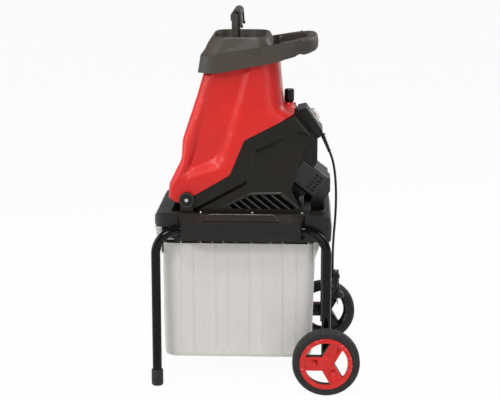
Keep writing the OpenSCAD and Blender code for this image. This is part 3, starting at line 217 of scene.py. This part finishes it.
collar_grey = moulded("collar_plastic", (0.044, 0.034, 0.027), 0.5, 2400, 0.00012, Specular_IOR_Level=0.4)
black = moulded("black_plastic", (0.0068, 0.0048, 0.0026), 0.34, 2600, 0.00008, Specular_IOR_Level=0.31)
tray_black = moulded(
    "tray_plastic", (0.0070, 0.0050, 0.0032), 0.34, 2600, 0.00008, hatch=0.0003, Specular_IOR_Level=0.33,
)
red = moulded("red_plastic", (0.567, 0.0125, 0.009), 0.38, 2200, 0.00004, Specular_IOR_Level=0.4)
dark = moulded("inner_plastic", (0.008, 0.0078, 0.0075), 0.55, 2600, 0.0001, Specular_IOR_Level=0.3)
# Darker than the black plastic, for the sheet behind the louvres: painted shade where their gaps would show the
# inside
painted_shade_black = moulded("shade_sheet_plastic", (0.0020, 0.0018, 0.0016), 0.7, 2600, 0.0001, Specular_IOR_Level=0.1)
# Glossier copy of the black plastic for the motor cover, its lighter base colour a painted light on the ribs
motor_cover_painted_light = moulded("cover_plastic_painted_light", (0.0120, 0.0096, 0.0075), 0.3, 2600, 0.00006, Specular_IOR_Level=0.55)
# Much lighter copy of the black plastic for the beads and the hinge's ear ring: a painted highlight on their edges
painted_highlight_black = moulded("bead_plastic_painted_highlight", (0.034, 0.029, 0.024), 0.26, 2600, 0.00003, Specular_IOR_Level=0.6)
bezel = moulded("bezel_plastic", (0.70, 0.68, 0.64), 0.3, 2000, 0.00003)
rubber = rubbery("foot_rubber", (0.017, 0.0165, 0.016), 0.6, 900, 0.0002)
tyre = rubbery("tyre_rubber", (0.016, 0.015, 0.0145), 0.64, 700, 0.0003)
cord_skin = rubbery("cord_skin", (0.007, 0.007, 0.007), 0.42, 1500, 0.00008)
steel = metal("turned_steel", (0.62, 0.62, 0.63), 0.3, 400, (1, 6, 1), 0.00005)
bright = metal("plated_brass", (0.80, 0.80, 0.80), 0.2, 300, (1, 1, 1), 0.00003)
iron = metal("laminations", (0.28, 0.28, 0.29), 0.45, 900, (3, 1, 3), 0.0002)
copper = metal("copper_wire", (0.72, 0.38, 0.2), 0.35, 1200, (1, 4, 1), 0.0003)
tube_paint = painted_tube()
milky = milky_box()
clear = clear_cover()

# Material of each node, black plastic for those not named here
finish = {
    "left_leg_frame": tube_paint, "right_leg_frame": tube_paint,
    "left_foot": rubber, "right_foot": rubber, "strain_relief": rubber,
    "left_tyre": tyre, "right_tyre": tyre,
    "cord_tie": cord_skin, "plug_body": cord_skin, "plug_pins": bright,
    "hopper": red, "left_hub_cover": red, "right_hub_cover": red, "switch_rocker": red,
    "feed_chute": collar_grey, "feed_collar": collar_grey, "tamper": collar_grey,
    "collection_box": milky, "switch_bezel": bezel, "motor_cover": motor_cover_painted_light, "base_tray": tray_black,
    "axle": steel, "axle_retainers": steel, "housing_screws": steel, "lock_spindle": steel,
    "left_hinge_screw": steel, "right_hinge_screw": steel, "motor_plate": steel, "chip_guide": steel,
    "rear_bracket": steel, "front_bearing": steel, "rear_bearing": steel, "motor_shaft": steel,
    "blade_disc": steel, "blades": steel, "blade_screws": steel, "disc_bolt": steel, "counter_blade": steel,
    "stator": iron, "armature": iron, "windings": copper, "commutator": copper,
    "fan": dark, "interlock_switch": dark, "brush_holders": dark,
}

# Places that the looks share with the solids

deck = 476.0
hinge_x, hinge_z = -180.5, deck + 32.5
motor_pitch = math.radians(127)
motor_from = Vector((-7, 0, deck + 194))
motor_along = Vector((math.sin(motor_pitch), 0, math.cos(motor_pitch)))
motor_down = Vector((math.cos(motor_pitch), 0, -math.sin(motor_pitch)))
panel_mid, panel_tilt = Vector((156, 0, deck + 240)), math.atan2(70, 50)
panel_out = Vector((math.sin(panel_tilt), 0, math.cos(panel_tilt)))
panel_down = Vector((math.cos(panel_tilt), 0, -math.sin(panel_tilt)))


# Reshaping of the moulded skins, each function moves an array of places

def smooth(low, high, value):
    """Soft step from 0 at low to 1 at high, which may be the smaller one."""
    t = np.clip((value - low) / (high - low), 0.0, 1.0)
    return t * t * (3 - 2 * t)


def inside_distance(x, z, outline):
    """Distance to an outline, positive inside it."""
    distance = np.full(len(x), np.inf)
    inside = np.zeros(len(x), bool)
    for (ax, az), (bx, bz) in zip(outline, outline[1:] + outline[:1]):
        dx, dz = bx - ax, bz - az
        t = np.clip(((x - ax) * dx + (z - az) * dz) / (dx * dx + dz * dz), 0, 1)
        distance = np.minimum(distance, np.hypot(x - ax - t * dx, z - az - t * dz))
        if dz:
            inside ^= ((az > z) != (bz > z)) & (x < dx * (z - az) / dz + ax)
    return np.where(inside, distance, -distance)


def hopper_edge(x):
    """Height of the hopper's slanting top edge."""
    return 363 + 0.186 * (x + 134)


def collar_rim(x):
    """Height of the collar's slanting upper rim."""
    return 437 + 0.169 * x


def skirt_lift(x):
    """How far the collar's lower edge lies above the hopper's edge."""
    front, rear = 8 * smooth(-95, -153, x), 5 * smooth(30, 126, x)
    return (3 + front + rear) * (1 - smooth(118, 130, x))


# Hopper: outline (X, h) of the recess in its sides, and the ranges over which each change fades
recess = [(-203, 84), (-98, 117), (-78, 150), (-54, 226), (-5, 400), (-117, 400), (-174, 164)]
ledge_depth, ledge_run, ledge_fade, side_walls = 9.5, 24, (120, 260), (70, 100)
toe_lift, toe_from, toe_run, toe_fade = 14, -206, 24, (30, 85)
edge_band = 60


def hopper_shape(place):
    """Hopper with a deeper recess in its sides, a lifted toe, and its top edge up at the collar's skirt."""
    x, y, h = place[:, 0], place[:, 1], place[:, 2] - deck
    ledge = ledge_depth * smooth(0, ledge_run, inside_distance(x, h, recess)) * (1 - smooth(*ledge_fade, h))
    inward = -np.sign(y) * ledge * smooth(*side_walls, abs(y))
    toe = toe_lift * np.clip((toe_from - x) / toe_run, 0, 1) * (1 - smooth(*toe_fade, h))
    rise = skirt_lift(x) * smooth(hopper_edge(x) - edge_band, hopper_edge(x), h)
    return place + np.stack([0 * x, inward, toe + rise], 1)


# Collar: lean of its front, lift of its grip, and where each of them sets in
collar_lean, lean_run, rim_band, skirt_lap = 6.5, (-60, -150), 30, 3
grip_lift, grip_run, grip_band = 5, (116, 134), (-5, 18)


def collar_shape(place):
    """Collar with its front leaning back, its skirt lifted and its grip a little higher."""
    x, h = place[:, 0], place[:, 2] - deck
    edge, rim = hopper_edge(x), collar_rim(x)
    share = np.clip((h - edge + skirt_lap) / (rim - edge), 0, 1)
    back = collar_lean * smooth(*lean_run, x) * share * (1 - smooth(rim, rim + rim_band, h))
    grip = grip_lift * smooth(*grip_run, x) * smooth(*grip_band, h - (edge + rim) / 2)
    return place + np.stack([back, 0 * x, skirt_lift(x) * (1 - share) + grip], 1)


# Box: how far its foot comes forward and how much of its pull lip goes
box_toe, box_front, box_fade = 4.5, (-190, -240), (120, 400)
lip_from, lip_cut = -268, 0.7


def box_shape(place):
    """Collection box with its foot drawn forward and a shorter pull lip."""
    x, z = place[:, 0], place[:, 2]
    toe = -box_toe * smooth(*box_front, x) * (1 - smooth(*box_fade, z))
    lip = np.where(x < lip_from, -lip_cut * (x - lip_from), 0.0)
    return place + np.stack([toe + lip, 0 * x, 0 * x], 1)


# Switch box: where its upper end starts to slope, how steeply, and the depth behind the panel
switch_slope_from, switch_slope, switch_depth = -24, 0.5, 21


def switch_shape(place):
    """Switch box with an upper end that slopes down towards its panel."""
    arm = place - np.array(panel_mid)
    down, out = arm @ np.array(panel_down), arm @ np.array(panel_out)
    drop = np.where(down < switch_slope_from, -switch_slope * (down - switch_slope_from), 0.0)
    drop *= np.clip((out + switch_depth) / switch_depth, 0, 1)
    return place + drop[:, None] * np.array(panel_down)


fan_share = 0.97


def fan_shape(place):
    """A slightly smaller fan, clear of the motor cover all round."""
    start, along = np.array(motor_from), np.array(motor_along)
    middle = start + ((place - start) @ along)[:, None] * along
    return middle + fan_share * (place - middle)


# Skins of the moulded pieces

weld_gap, sliver = 0.00001, 0.0002
flat_angle, sharp_angle = math.radians(0.03), math.radians(32)
prune_rounds, most_halvings, melt_share = 3, 9, 0.6

# Edge length in metres, rounds of melting, degrees from which an edge counts as square, and the reshaping
melted = {
    "hopper": (0.006, 14, 62, hopper_shape),
    "feed_collar": (0.005, 8, 62, collar_shape),
    "collection_box": (0.06, 0, 50, box_shape),
    "switch_box": (0.014, 0, 40, switch_shape),
    "fan": (0.06, 0, 40, fan_shape),
}

# Edge radius of each moulded piece
edge_radius = {
    "lower_housing": 1.6, "base_tray": 1.6, "feed_collar": 2.2, "switch_box": 1.6, "collection_box": 0.8,
    "tamper": 1.0, "lock_knob": 0.8, "switch_bezel": 0.8, "switch_rocker": 0.8, "plug_body": 0.8,
    "left_hub_cover": 0.8, "right_hub_cover": 0.8, "left_wheel_core": 0.6, "right_wheel_core": 0.6,
    "left_tyre": 0.5, "right_tyre": 0.5, "left_hinge_screw": 0.6, "right_hinge_screw": 0.6,
    "left_foot": 0.6, "right_foot": 0.6,
}


def mark_square(fine, crease):
    """Marks the edges from the crease angle up as square, apart from short ends that lead nowhere."""
    for edge in fine.edges:
        edge.smooth = edge.calc_face_angle(0.0) < math.radians(crease)
    for _ in range(prune_rounds):
        for edge in fine.edges:
            if not edge.smooth and any(sum(not e.smooth for e in vert.link_edges) < 2 for vert in edge.verts):
                edge.smooth = True


def halve_edges(fine, step):
    """Triangles with edges no longer than the step."""
    bmesh.ops.triangulate(fine, faces=fine.faces)
    for _ in range(most_halvings):
        long_edges = [edge for edge in fine.edges if edge.calc_length() > step]
        if not long_edges:
            break
        bmesh.ops.subdivide_edges(fine, edges=long_edges, cuts=1)
        bmesh.ops.triangulate(fine, faces=[face for face in fine.faces if len(face.verts) > 3])
    fine.verts.index_update()


def neighbour_mean(places, pairs, counts):
    """Mean place of each point's neighbours."""
    total = np.zeros_like(places)
    for axis in range(3):
        total[:, axis] = np.bincount(pairs[:, 0], places[pairs[:, 1], axis], len(places))
    return total / counts[:, None]


def melt(fine, places, rounds):
    """Draws each point towards its neighbours, those on square edges held."""
    ends = np.array([(edge.verts[0].index, edge.verts[1].index) for edge in fine.edges])
    square = np.array([not edge.smooth for edge in fine.edges])
    held = np.zeros(len(places), bool)
    held[ends[square].ravel()] = True
    pairs = np.concatenate([ends, ends[:, ::-1]])
    counts = np.maximum(np.bincount(pairs[:, 0], minlength=len(places)), 1)
    for _ in range(rounds):
        moved = (1 - melt_share) * places + melt_share * neighbour_mean(places, pairs, counts)
        places = np.where(held[:, None], places, moved)
    return places


def soft_copy(name, step, rounds, crease, shape):
    """A finer, reshaped mesh of a node, its slanting creases melted round and its square edges kept."""
    fine = bmesh.new()
    fine.from_mesh(nodes[name].data)
    bmesh.ops.remove_doubles(fine, verts=fine.verts, dist=weld_gap)
    bmesh.ops.dissolve_limit(
        fine, angle_limit=flat_angle, use_dissolve_boundaries=False, verts=fine.verts, edges=fine.edges,
    )
    mark_square(fine, crease)
    bmesh.ops.dissolve_degenerate(fine, dist=sliver, edges=fine.edges)
    halve_edges(fine, step)
    places = shape(np.array([vert.co for vert in fine.verts]) * 1000) / 1000
    places = melt(fine, places, rounds)
    mesh = bpy.data.meshes.new(name + "_skin")
    fine.to_mesh(mesh)
    fine.free()
    mesh.vertices.foreach_set("co", places.ravel())
    piece = bpy.data.objects.new(name + "_skin", mesh)
    scene.collection.objects.link(piece)
    return piece


def even_normals(obj):
    """Shading that follows the large faces."""
    normals = obj.modifiers.new("normals", "WEIGHTED_NORMAL")
    normals.keep_sharp = True


def soften(obj, radius, fine):
    """Rounds the sharp edges of a solid without touching its own mesh."""
    if not fine:
        weld = obj.modifiers.new("weld", "WELD")
        weld.merge_threshold = weld_gap
    bevel = obj.modifiers.new("edge", "BEVEL")
    bevel.limit_method = "ANGLE"
    bevel.angle_limit = sharp_angle
    bevel.width = radius / 1000
    bevel.segments = 2
    even_normals(obj)


def dress(obj, material, radius, fine=False):
    """Gives a piece its material and its edges, a fine mesh is welded already."""
    obj.data.materials.clear()
    obj.data.materials.append(material)
    for polygon in obj.data.polygons:
        polygon.material_index = 0
    obj.data.shade_smooth()
    if radius:
        soften(obj, radius, fine)
    elif fine:
        even_normals(obj)
    else:
        split = obj.modifiers.new("sharp", "EDGE_SPLIT")
        split.split_angle = sharp_angle


for name, obj in nodes.items():
    material = finish.get(name, black)
    if name in melted:
        skin = soft_copy(name, *melted[name])
        dress(skin, material, edge_radius.get(name), melted[name][1] > 0)
        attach(skin, obj["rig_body"])
        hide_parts(name)
    else:
        dress(obj, material, edge_radius.get(name))


# Cord, on the route of its solids

cord_route = [
    (208, 598), (211, 588), (214, 574), (216.5, 558), (218.5, 540), (220, 520), (220.8, 500), (221, 480),
    (220.8, 460), (220, 440), (219, 420), (217.5, 400), (216, 380), (215, 360), (214.3, 340), (214, 320),
    (214, 300), (214, 284), (214, 268),
]
relief_tilt = math.radians(156.8)
relief_dir = Vector((math.sin(relief_tilt), 0, math.cos(relief_tilt)))
relief_from, relief_len, cord_lead = Vector((181, 0, 663)), 52, 8
hank_radius, hank_turns, hank_pitch, hank_lead, hank_tail = 22.5, 2, 7.6, 8, 26
hank_steps = 24


def cord_path():
    """Points from the strain relief down to the hank, round its turns and to the plug."""
    start = relief_from + relief_len * relief_dir
    points = [start, start + cord_lead * relief_dir] + [Vector((x, 0, z)) for x, z in cord_route]
    top = points[-1]
    points.append(top - Vector((0, 0, hank_lead)))
    for i in range(1, hank_steps * hank_turns + 1):
        turn = 2 * math.pi * i / hank_steps
        points.append(top + Vector((
            hank_pitch * i / hank_steps,
            hank_radius * (math.cos(turn) - 1),
            -hank_lead - hank_radius * math.sin(turn),
        )))
    points.append(top + Vector((hank_turns * hank_pitch, 0, -hank_lead - hank_tail)))
    return [p / 1000 for p in points]


route = cord_path()
cord_curve = bpy.data.curves.new("cord", "CURVE")
cord_curve.dimensions = "3D"
cord_curve.bevel_depth = 0.0033
cord_curve.bevel_resolution = 4
cord_curve.use_fill_caps = True
spline = cord_curve.splines.new("POLY")
spline.points.add(len(route) - 1)
for point, place in zip(spline.points, route):
    point.co = (*place, 1.0)
cord = bpy.data.objects.new("cord", cord_curve)
cord_curve.materials.append(cord_skin)
scene.collection.objects.link(cord)
cord_length = sum((b - a).length for a, b in zip(route, route[1:]))
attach(cord, "stand")
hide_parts("mains_cord", "cord_hank")
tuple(route[0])


# Drawing of detail pieces

def add_piece(name, verts, faces, body, material, slot, thickness=0.0):
    """A piece from points and faces, with a wall where a thickness is given."""
    build = bmesh.new()
    points = [build.verts.new(Vector(v) / 1000) for v in verts]
    for face in faces:
        build.faces.new([points[i] for i in face])
    bmesh.ops.recalc_face_normals(build, faces=build.faces)
    mesh = bpy.data.meshes.new(name)
    build.to_mesh(mesh)
    build.free()
    piece = bpy.data.objects.new(name, mesh)
    scene.collection.objects.link(piece)
    mesh.materials.append(material)
    mesh.shade_smooth()
    if thickness:
        solid = piece.modifiers.new("wall", "SOLIDIFY")
        solid.thickness = thickness / 1000
        solid.offset = -1.0
    split = piece.modifiers.new("sharp", "EDGE_SPLIT")
    split.split_angle = math.radians(40)
    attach(piece, body)


def loops(rings, closed=False, caps=()):
    """Faces between rings of equal length, those named in caps closed round a middle point."""
    count = len(rings[0])
    verts = [v for ring in rings for v in ring]
    faces = []
    for k in range(len(rings) if closed else len(rings) - 1):
        a, b = k * count, (k + 1) % len(rings) * count
        faces += [(a + i, a + (i + 1) % count, b + (i + 1) % count, b + i) for i in range(count)]
    for end in caps:
        first = end % len(rings) * count
        verts.append(sum((Vector(v) for v in rings[end]), Vector()) / count)
        faces += [(first + i, first + (i + 1) % count, len(verts) - 1) for i in range(count)]
    return verts, faces


def joined(meshes):
    """One set of points and faces from several."""
    verts, faces = [], []
    for more_verts, more_faces in meshes:
        faces += [tuple(i + len(verts) for i in face) for face in more_faces]
        verts += more_verts
    return verts, faces


def bead(line, wide, high, place):
    """Rounded bead along a line of (X, up the wall), place(x, up, out) sets it in space."""
    rings = []
    for i, (x, up) in enumerate(line):
        (x0, up0), (x1, up1) = line[max(i - 1, 0)], line[min(i + 1, len(line) - 1)]
        length = math.hypot(x1 - x0, up1 - up0)
        ring = []
        for a in np.radians(np.arange(0, 360, 36)):
            u = wide * math.cos(a)
            ring.append(place(x + u * (up1 - up0) / length, up - u * (x1 - x0) / length, high * math.sin(a)))
        rings.append(ring)
    return loops(rings, caps=(0, -1))


def bent(points, cut):
    """A line of points with its corners rounded."""
    line = [points[0]]
    for a, b, c in zip(points, points[1:], points[2:]):
        a, b, c = Vector(a), Vector(b), Vector(c)
        start, end = b + cut * (a - b).normalized(), b + cut * (c - b).normalized()
        for t in np.linspace(0, 1, 7).tolist():
            line.append(tuple((1 - t) ** 2 * start + 2 * t * (1 - t) * b + t * t * end))
    return line + [points[-1]]


def rounded_ring(half_x, half_y, power, count):
    """Points of a rounded rectangle."""
    ring = []
    for i in range(count):
        a = 2 * math.pi * (i + 0.5) / count
        c, s = math.cos(a), math.sin(a)
        ring.append((math.copysign(half_x * abs(c) ** power, c), math.copysign(half_y * abs(s) ** power, s)))
    return ring


# Hinge

ear_face, hinge_steps = 156.8, 56


def hinge_ring(profile, side):
    """Ring turned round the hinge's axis, from a closed profile of (radius, Y)."""
    turn = [2 * math.pi * i / hinge_steps for i in range(hinge_steps)]
    rings = [
        [(hinge_x + r * math.cos(a), side * y, hinge_z + r * math.sin(a)) for a in turn] for r, y in profile
    ]
    return loops(rings, closed=True)


def add_hinge_rings(side, word):
    """Raised ring on the hinge's ear, in the lighter bead plastic that is a painted highlight, and a dished washer
    on the screw's head.
    """
    low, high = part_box(word + "_hinge_screw")
    head = max(abs(low.y), abs(high.y)) * 1000
    ring = [(16.8, ear_face - 0.4), (17.5, ear_face + 1.2), (19.3, ear_face + 1.2), (20.1, ear_face - 0.4)]
    add_piece(word + "_ear_ring", *hinge_ring(ring, side), "stand", painted_highlight_black, "black_plastic")
    dish = [(4.3, head - 0.6), (4.7, head + 0.25), (7.4, head + 0.7), (9.2, head + 0.3), (9.4, head - 0.8)]
    add_piece(word + "_hinge_washer", *hinge_ring(dish, side), "stand", dark, "black_plastic")


# Louvres in the leaning side walls of the housing

wall_slope, wall_foot = 0.0714, 147.5
wall_lean = math.atan(wall_slope)
# Sheet behind the louvres, painted shade: its foot, front end, height and ribs
shade_sheet_foot, shade_sheet_front, shade_sheet_low, shade_sheet_height = 126, -94, 4, 48
shade_sheet_columns, shade_sheet_rows, rib_pitch, rib_depth = 108, 8, 2, 0.9
louvre = [(-84, 7), (114, 7), (74, 46), (-9, 44)]
bar_angle, bar_pitch, bar_first, bar_middle = math.radians(38), 26, -60, 26
bar_reach, shortest_bar = 60.0, 6


def on_wall(side, sunk):
    """Placing on the side wall, some way below its face."""
    def place(x, up, out):
        out -= sunk
        return (
            x,
            side * (wall_foot - up * math.sin(wall_lean) + out * math.cos(wall_lean)),
            deck + up * math.cos(wall_lean) + out * math.sin(wall_lean),
        )
    return place


def louvre_bars():
    """Middle lines of the slanting bars, within the louvre's outline."""
    along = (math.cos(bar_angle), -math.sin(bar_angle))
    lines = []
    for i in range(-4, 9):
        x, up = bar_first + bar_pitch * i, bar_middle
        low, high = -bar_reach, bar_reach
        for (ax, av), (bx, bv) in zip(louvre, louvre[1:] + louvre[:1]):
            start = (bx - ax) * (up - av) - (bv - av) * (x - ax)
            slope = (bx - ax) * along[1] - (bv - av) * along[0]
            if slope > 0:
                low = max(low, -start / slope)
            else:
                high = min(high, -start / slope)
        if high - low > shortest_bar:
            lines.append([(x + t * along[0], up + t * along[1]) for t in np.linspace(low, high, 5)])
    return lines


def louvre_border(out):
    """Line round the ends and the top of the louvres, some way outside their outline."""
    path = [Vector(louvre[i]) for i in (0, 3, 2, 1)]
    normals = [Vector((a.y - b.y, b.x - a.x)).normalized() for a, b in zip(path, path[1:])]
    line = [path[0] + out * normals[0]]
    for corner, a, b in zip(path[1:], normals, normals[1:]):
        line.append(corner + (a + b) * (out / (1 + a.dot(b))))
    line.append(path[-1] + out * normals[-1])
    return bent([tuple(point) for point in line], 8.0)


def add_louvres(side, word):
    """Dark ribbed sheet behind the louvres as painted shade in their gaps, and beads on their bars and border in
    the lighter plastic that paints a highlight on them.
    """
    verts, faces = [], []
    for k in range(shade_sheet_rows):
        h = shade_sheet_low + shade_sheet_height * k / (shade_sheet_rows - 1)
        for i in range(shade_sheet_columns):
            face = shade_sheet_foot - wall_slope * h - rib_depth * (i % 2)
            verts.append((shade_sheet_front + rib_pitch * i, side * face, deck + h))
    for k in range(shade_sheet_rows - 1):
        for first in range(k * shade_sheet_columns, (k + 1) * shade_sheet_columns - 1):
            above = first + shade_sheet_columns
            faces.append((first, first + 1, above + 1, above))
    add_piece(word + "_louvre_painted_shade_sheet", verts, faces, "stand", painted_shade_black, "black_plastic", 1.2)
    bars = joined(bead(line, 2.1, 1.6, on_wall(side, 7.0)) for line in louvre_bars())
    add_piece(word + "_louvre_beads", *bars, "stand", painted_highlight_black, "black_plastic")
    rims = joined(bead(louvre_border(out), 0.9, 0.8, on_wall(side, 4.6)) for out in (3.7, 6.3))
    add_piece(word + "_louvre_rim", *rims, "stand", painted_highlight_black, "black_plastic")


# Aprons of the tray

apron_slope, apron_top, apron_rise = math.atan(17 / 38.5), 164.5, 2.0
bead_front, bead_rear, bead_radius, bead_up, bead_foot = -110, 45, 17, -27, -37.0


def add_apron_bead(side, word):
    """Bead along the raised panel of an apron, in the lighter bead plastic that paints a highlight along it."""
    quarter = np.radians(np.arange(0, 91, 9))
    line = [(bead_front - bead_radius, bead_foot)]
    line += [(bead_front - bead_radius * math.cos(a), bead_up + bead_radius * math.sin(a)) for a in quarter]
    line += [(bead_rear + bead_radius * math.sin(a), bead_up + bead_radius * math.cos(a)) for a in quarter]
    line += [(bead_rear + bead_radius, bead_foot)]

    def on_apron(x, up, out):
        out += apron_rise
        return (
            x,
            side * (apron_top - up * math.cos(apron_slope) + out * math.sin(apron_slope)),
            deck + up * math.sin(apron_slope) + out * math.cos(apron_slope),
        )

    add_piece(word + "_apron_bead", *bead(line, 2.0, 1.8, on_apron), "stand", painted_highlight_black, "black_plastic")


# Collar

collar_mesh = bpy.data.objects["feed_collar_skin"].data
collar_tree = BVHTree.FromPolygons([v.co for v in collar_mesh.vertices], [p.vertices for p in collar_mesh.polygons])
collar_band, ray_from, ray_reach = 135.0, 0.2, 0.12
collar_tabs = [(-11, 13, 897, 912), (93, 114, 910, 926)]
tab_radius = 4.0


def on_collar(x, z, side, out):
    """Point some way out of the collar's side, or level with its band beside it."""
    start = Vector((x / 1000, side * ray_from, z / 1000))
    hit = collar_tree.ray_cast(start, Vector((0, -side, 0)), ray_reach)[0]
    face = abs(hit.y) * 1000 if hit else collar_band
    return (x, side * (face + out), z)


def tab_outline(x0, x1, low, high, inset):
    """Outline of a snap tab with its lower corners rounded."""
    outline = [(x0 + inset, high - inset)]
    radius = tab_radius - inset
    for middle, turn in ((x0 + tab_radius, 180), (x1 - tab_radius, 270)):
        for a in np.radians(np.arange(turn, turn + 91, 22.5)):
            outline.append((middle + radius * math.cos(a), low + tab_radius + radius * math.sin(a)))
    return outline + [(x1 - inset, high - inset)]


def add_collar_tabs(side, word):
    """Snap tabs on the band of the collar."""
    tabs = []
    for tab in collar_tabs:
        rings = [
            [on_collar(x, z, side, out) for x, z in tab_outline(*tab, inset)]
            for out, inset in ((-1.0, 0.0), (1.0, 0.0), (1.6, 0.8))
        ]
        tabs.append(loops(rings, caps=(0, -1)))
    add_piece(word + "_collar_tabs", *joined(tabs), "hopper", collar_grey, "black_plastic")


# Wheels

def add_wheel_lining(side, word):
    """Black inner face of the wheel, behind the red cover."""
    cover = nodes[word + "_hub_cover"].data
    inner = [f for f in cover.polygons if f.normal.y * side < -0.5]
    used = sorted({i for f in inner for i in f.vertices})
    places = {old: new for new, old in enumerate(used)}
    add_piece(
        word + "_wheel_lining",
        [cover.vertices[i].co * 1000 - Vector((0, 0.4 * side, 0)) for i in used],
        [[places[i] for i in f.vertices] for f in inner],
        word + "_wheel", black, "black_plastic", 0.3,
    )


for side, word in ((-1, "left"), (1, "right")):
    add_hinge_rings(side, word)
    add_louvres(side, word)
    add_apron_bead(side, word)
    add_collar_tabs(side, word)
    add_wheel_lining(side, word)

# Ribbed dust sleeve inside the motor cover

cover_half_height, cover_half_width, cover_drop = 36, 72, 4
sleeve_from, sleeve_to, sleeve_steps = 157, 224, 24
sleeve_gap, sleeve_rib = 5.5, 0.8
rings = []
for k, along in enumerate(np.linspace(sleeve_from, sleeve_to, sleeve_steps).tolist()):
    shrink = sleeve_gap + sleeve_rib * (k % 2)
    rings.append([
        motor_from + motor_along * along + motor_down * (cover_drop + u) + Vector((0, v, 0))
        for u, v in rounded_ring(cover_half_height - shrink, cover_half_width - shrink, 0.35, 64)
    ])
add_piece("motor_sleeve", *loops(rings, caps=(-1,)), "stand", dark, "black_plastic")

# Clear cover over the switch, rings of (half height, half width, height over the panel)

dome = [
    (20.5, 17.5, 4.2), (20.5, 17.5, 5.2), (17.2, 14.2, 5.6), (16.6, 13.6, 8.0), (16.0, 13.0, 10.4),
    (14.4, 11.4, 11.9), (11.0, 8.4, 12.6), (5.5, 4.2, 12.9),
]
rings = [
    [panel_mid + panel_out * out + panel_down * u + Vector((0, v, 0)) for u, v in rounded_ring(hx, hy, 0.4, 48)]
    for hx, hy, out in dome
]
add_piece("switch_cover", *loops(rings, caps=(-1,)), "stand", clear, "bezel", 0.7)


# Floor, background and lights

floor_half, floor_grey, glow_share = 40.0, 0.82, 0.95


def floor_plane():
    """Matt floor that looks white to the camera, in reflections and through clear pieces."""
    mesh = bpy.data.meshes.new("floor")
    corners = [(-1, -1), (1, -1), (1, 1), (-1, 1)]
    mesh.from_pydata([(floor_half * x, floor_half * y, 0) for x, y in corners], [], [(0, 1, 2, 3)])
    floor = bpy.data.objects.new("floor", mesh)
    scene.collection.objects.link(floor)
    material = bpy.data.materials.new("floor_white")
    material.use_nodes = True
    tree = material.node_tree
    tree.nodes.clear()
    output = tree.nodes.new("ShaderNodeOutputMaterial")
    mix = tree.nodes.new("ShaderNodeMixShader")
    matt = tree.nodes.new("ShaderNodeBsdfDiffuse")
    matt.inputs["Color"].default_value = (floor_grey, floor_grey, floor_grey, 1)
    glow = tree.nodes.new("ShaderNodeEmission")
    glow.inputs["Color"].default_value = (1, 1, 1, 1)
    rays = tree.nodes.new("ShaderNodeLightPath")
    seen = rays.outputs["Is Camera Ray"]
    for kind in ("Is Glossy Ray", "Is Transmission Ray"):
        either = tree.nodes.new("ShaderNodeMath")
        either.operation = "MAXIMUM"
        tree.links.new(seen, either.inputs[0])
        tree.links.new(rays.outputs[kind], either.inputs[1])
        seen = either.outputs["Value"]
    part = tree.nodes.new("ShaderNodeMath")
    part.operation = "MULTIPLY"
    part.inputs[1].default_value = glow_share
    tree.links.new(seen, part.inputs[0])
    tree.links.new(part.outputs["Value"], mix.inputs["Fac"])
    tree.links.new(matt.outputs["BSDF"], mix.inputs[1])
    tree.links.new(glow.outputs["Emission"], mix.inputs[2])
    tree.links.new(mix.outputs["Shader"], output.inputs["Surface"])
    mesh.materials.append(material)


def area_light(name, place, target, size, power):
    """Soft light of a size in metres and a power in watts, turned to its target."""
    data = bpy.data.lights.new(name, "AREA")
    data.shape = "RECTANGLE"
    data.size, data.size_y = size
    data.energy = power
    light = bpy.data.objects.new(name, data)
    light.location = place
    light.rotation_euler = (Vector(target) - Vector(place)).to_track_quat("-Z", "Y").to_euler()
    scene.collection.objects.link(light)


floor_plane()
world = bpy.data.worlds.new("studio")
scene.world = world
world.use_nodes = True
world.node_tree.nodes["Background"].inputs["Color"].default_value = (1, 1, 1, 1)
world.node_tree.nodes["Background"].inputs["Strength"].default_value = 0.3
area_light("key", (-2.4, -2.6, 2.4), (0.0, 0.0, 0.6), (0.8, 0.8), 58)
area_light("fill", (1.9, -3.6, 1.6), (0.0, 0.0, 0.5), (1.6, 2.0), 27)
area_light("top", (0.1, -0.5, 3.4), (0.0, 0.0, 0.6), (0.7, 0.7), 42)
area_light("side", (-3.2, -0.2, 1.2), (0.0, 0.0, 0.5), (1.2, 1.8), 26)
area_light("back", (2.4, 1.9, 2.2), (0.0, 0.0, 0.6), (1.6, 1.6), 34)
area_light("spark", (-0.3, -1.6, 3.2), (0.0, 0.0, 0.6), (0.45, 0.45), 20)
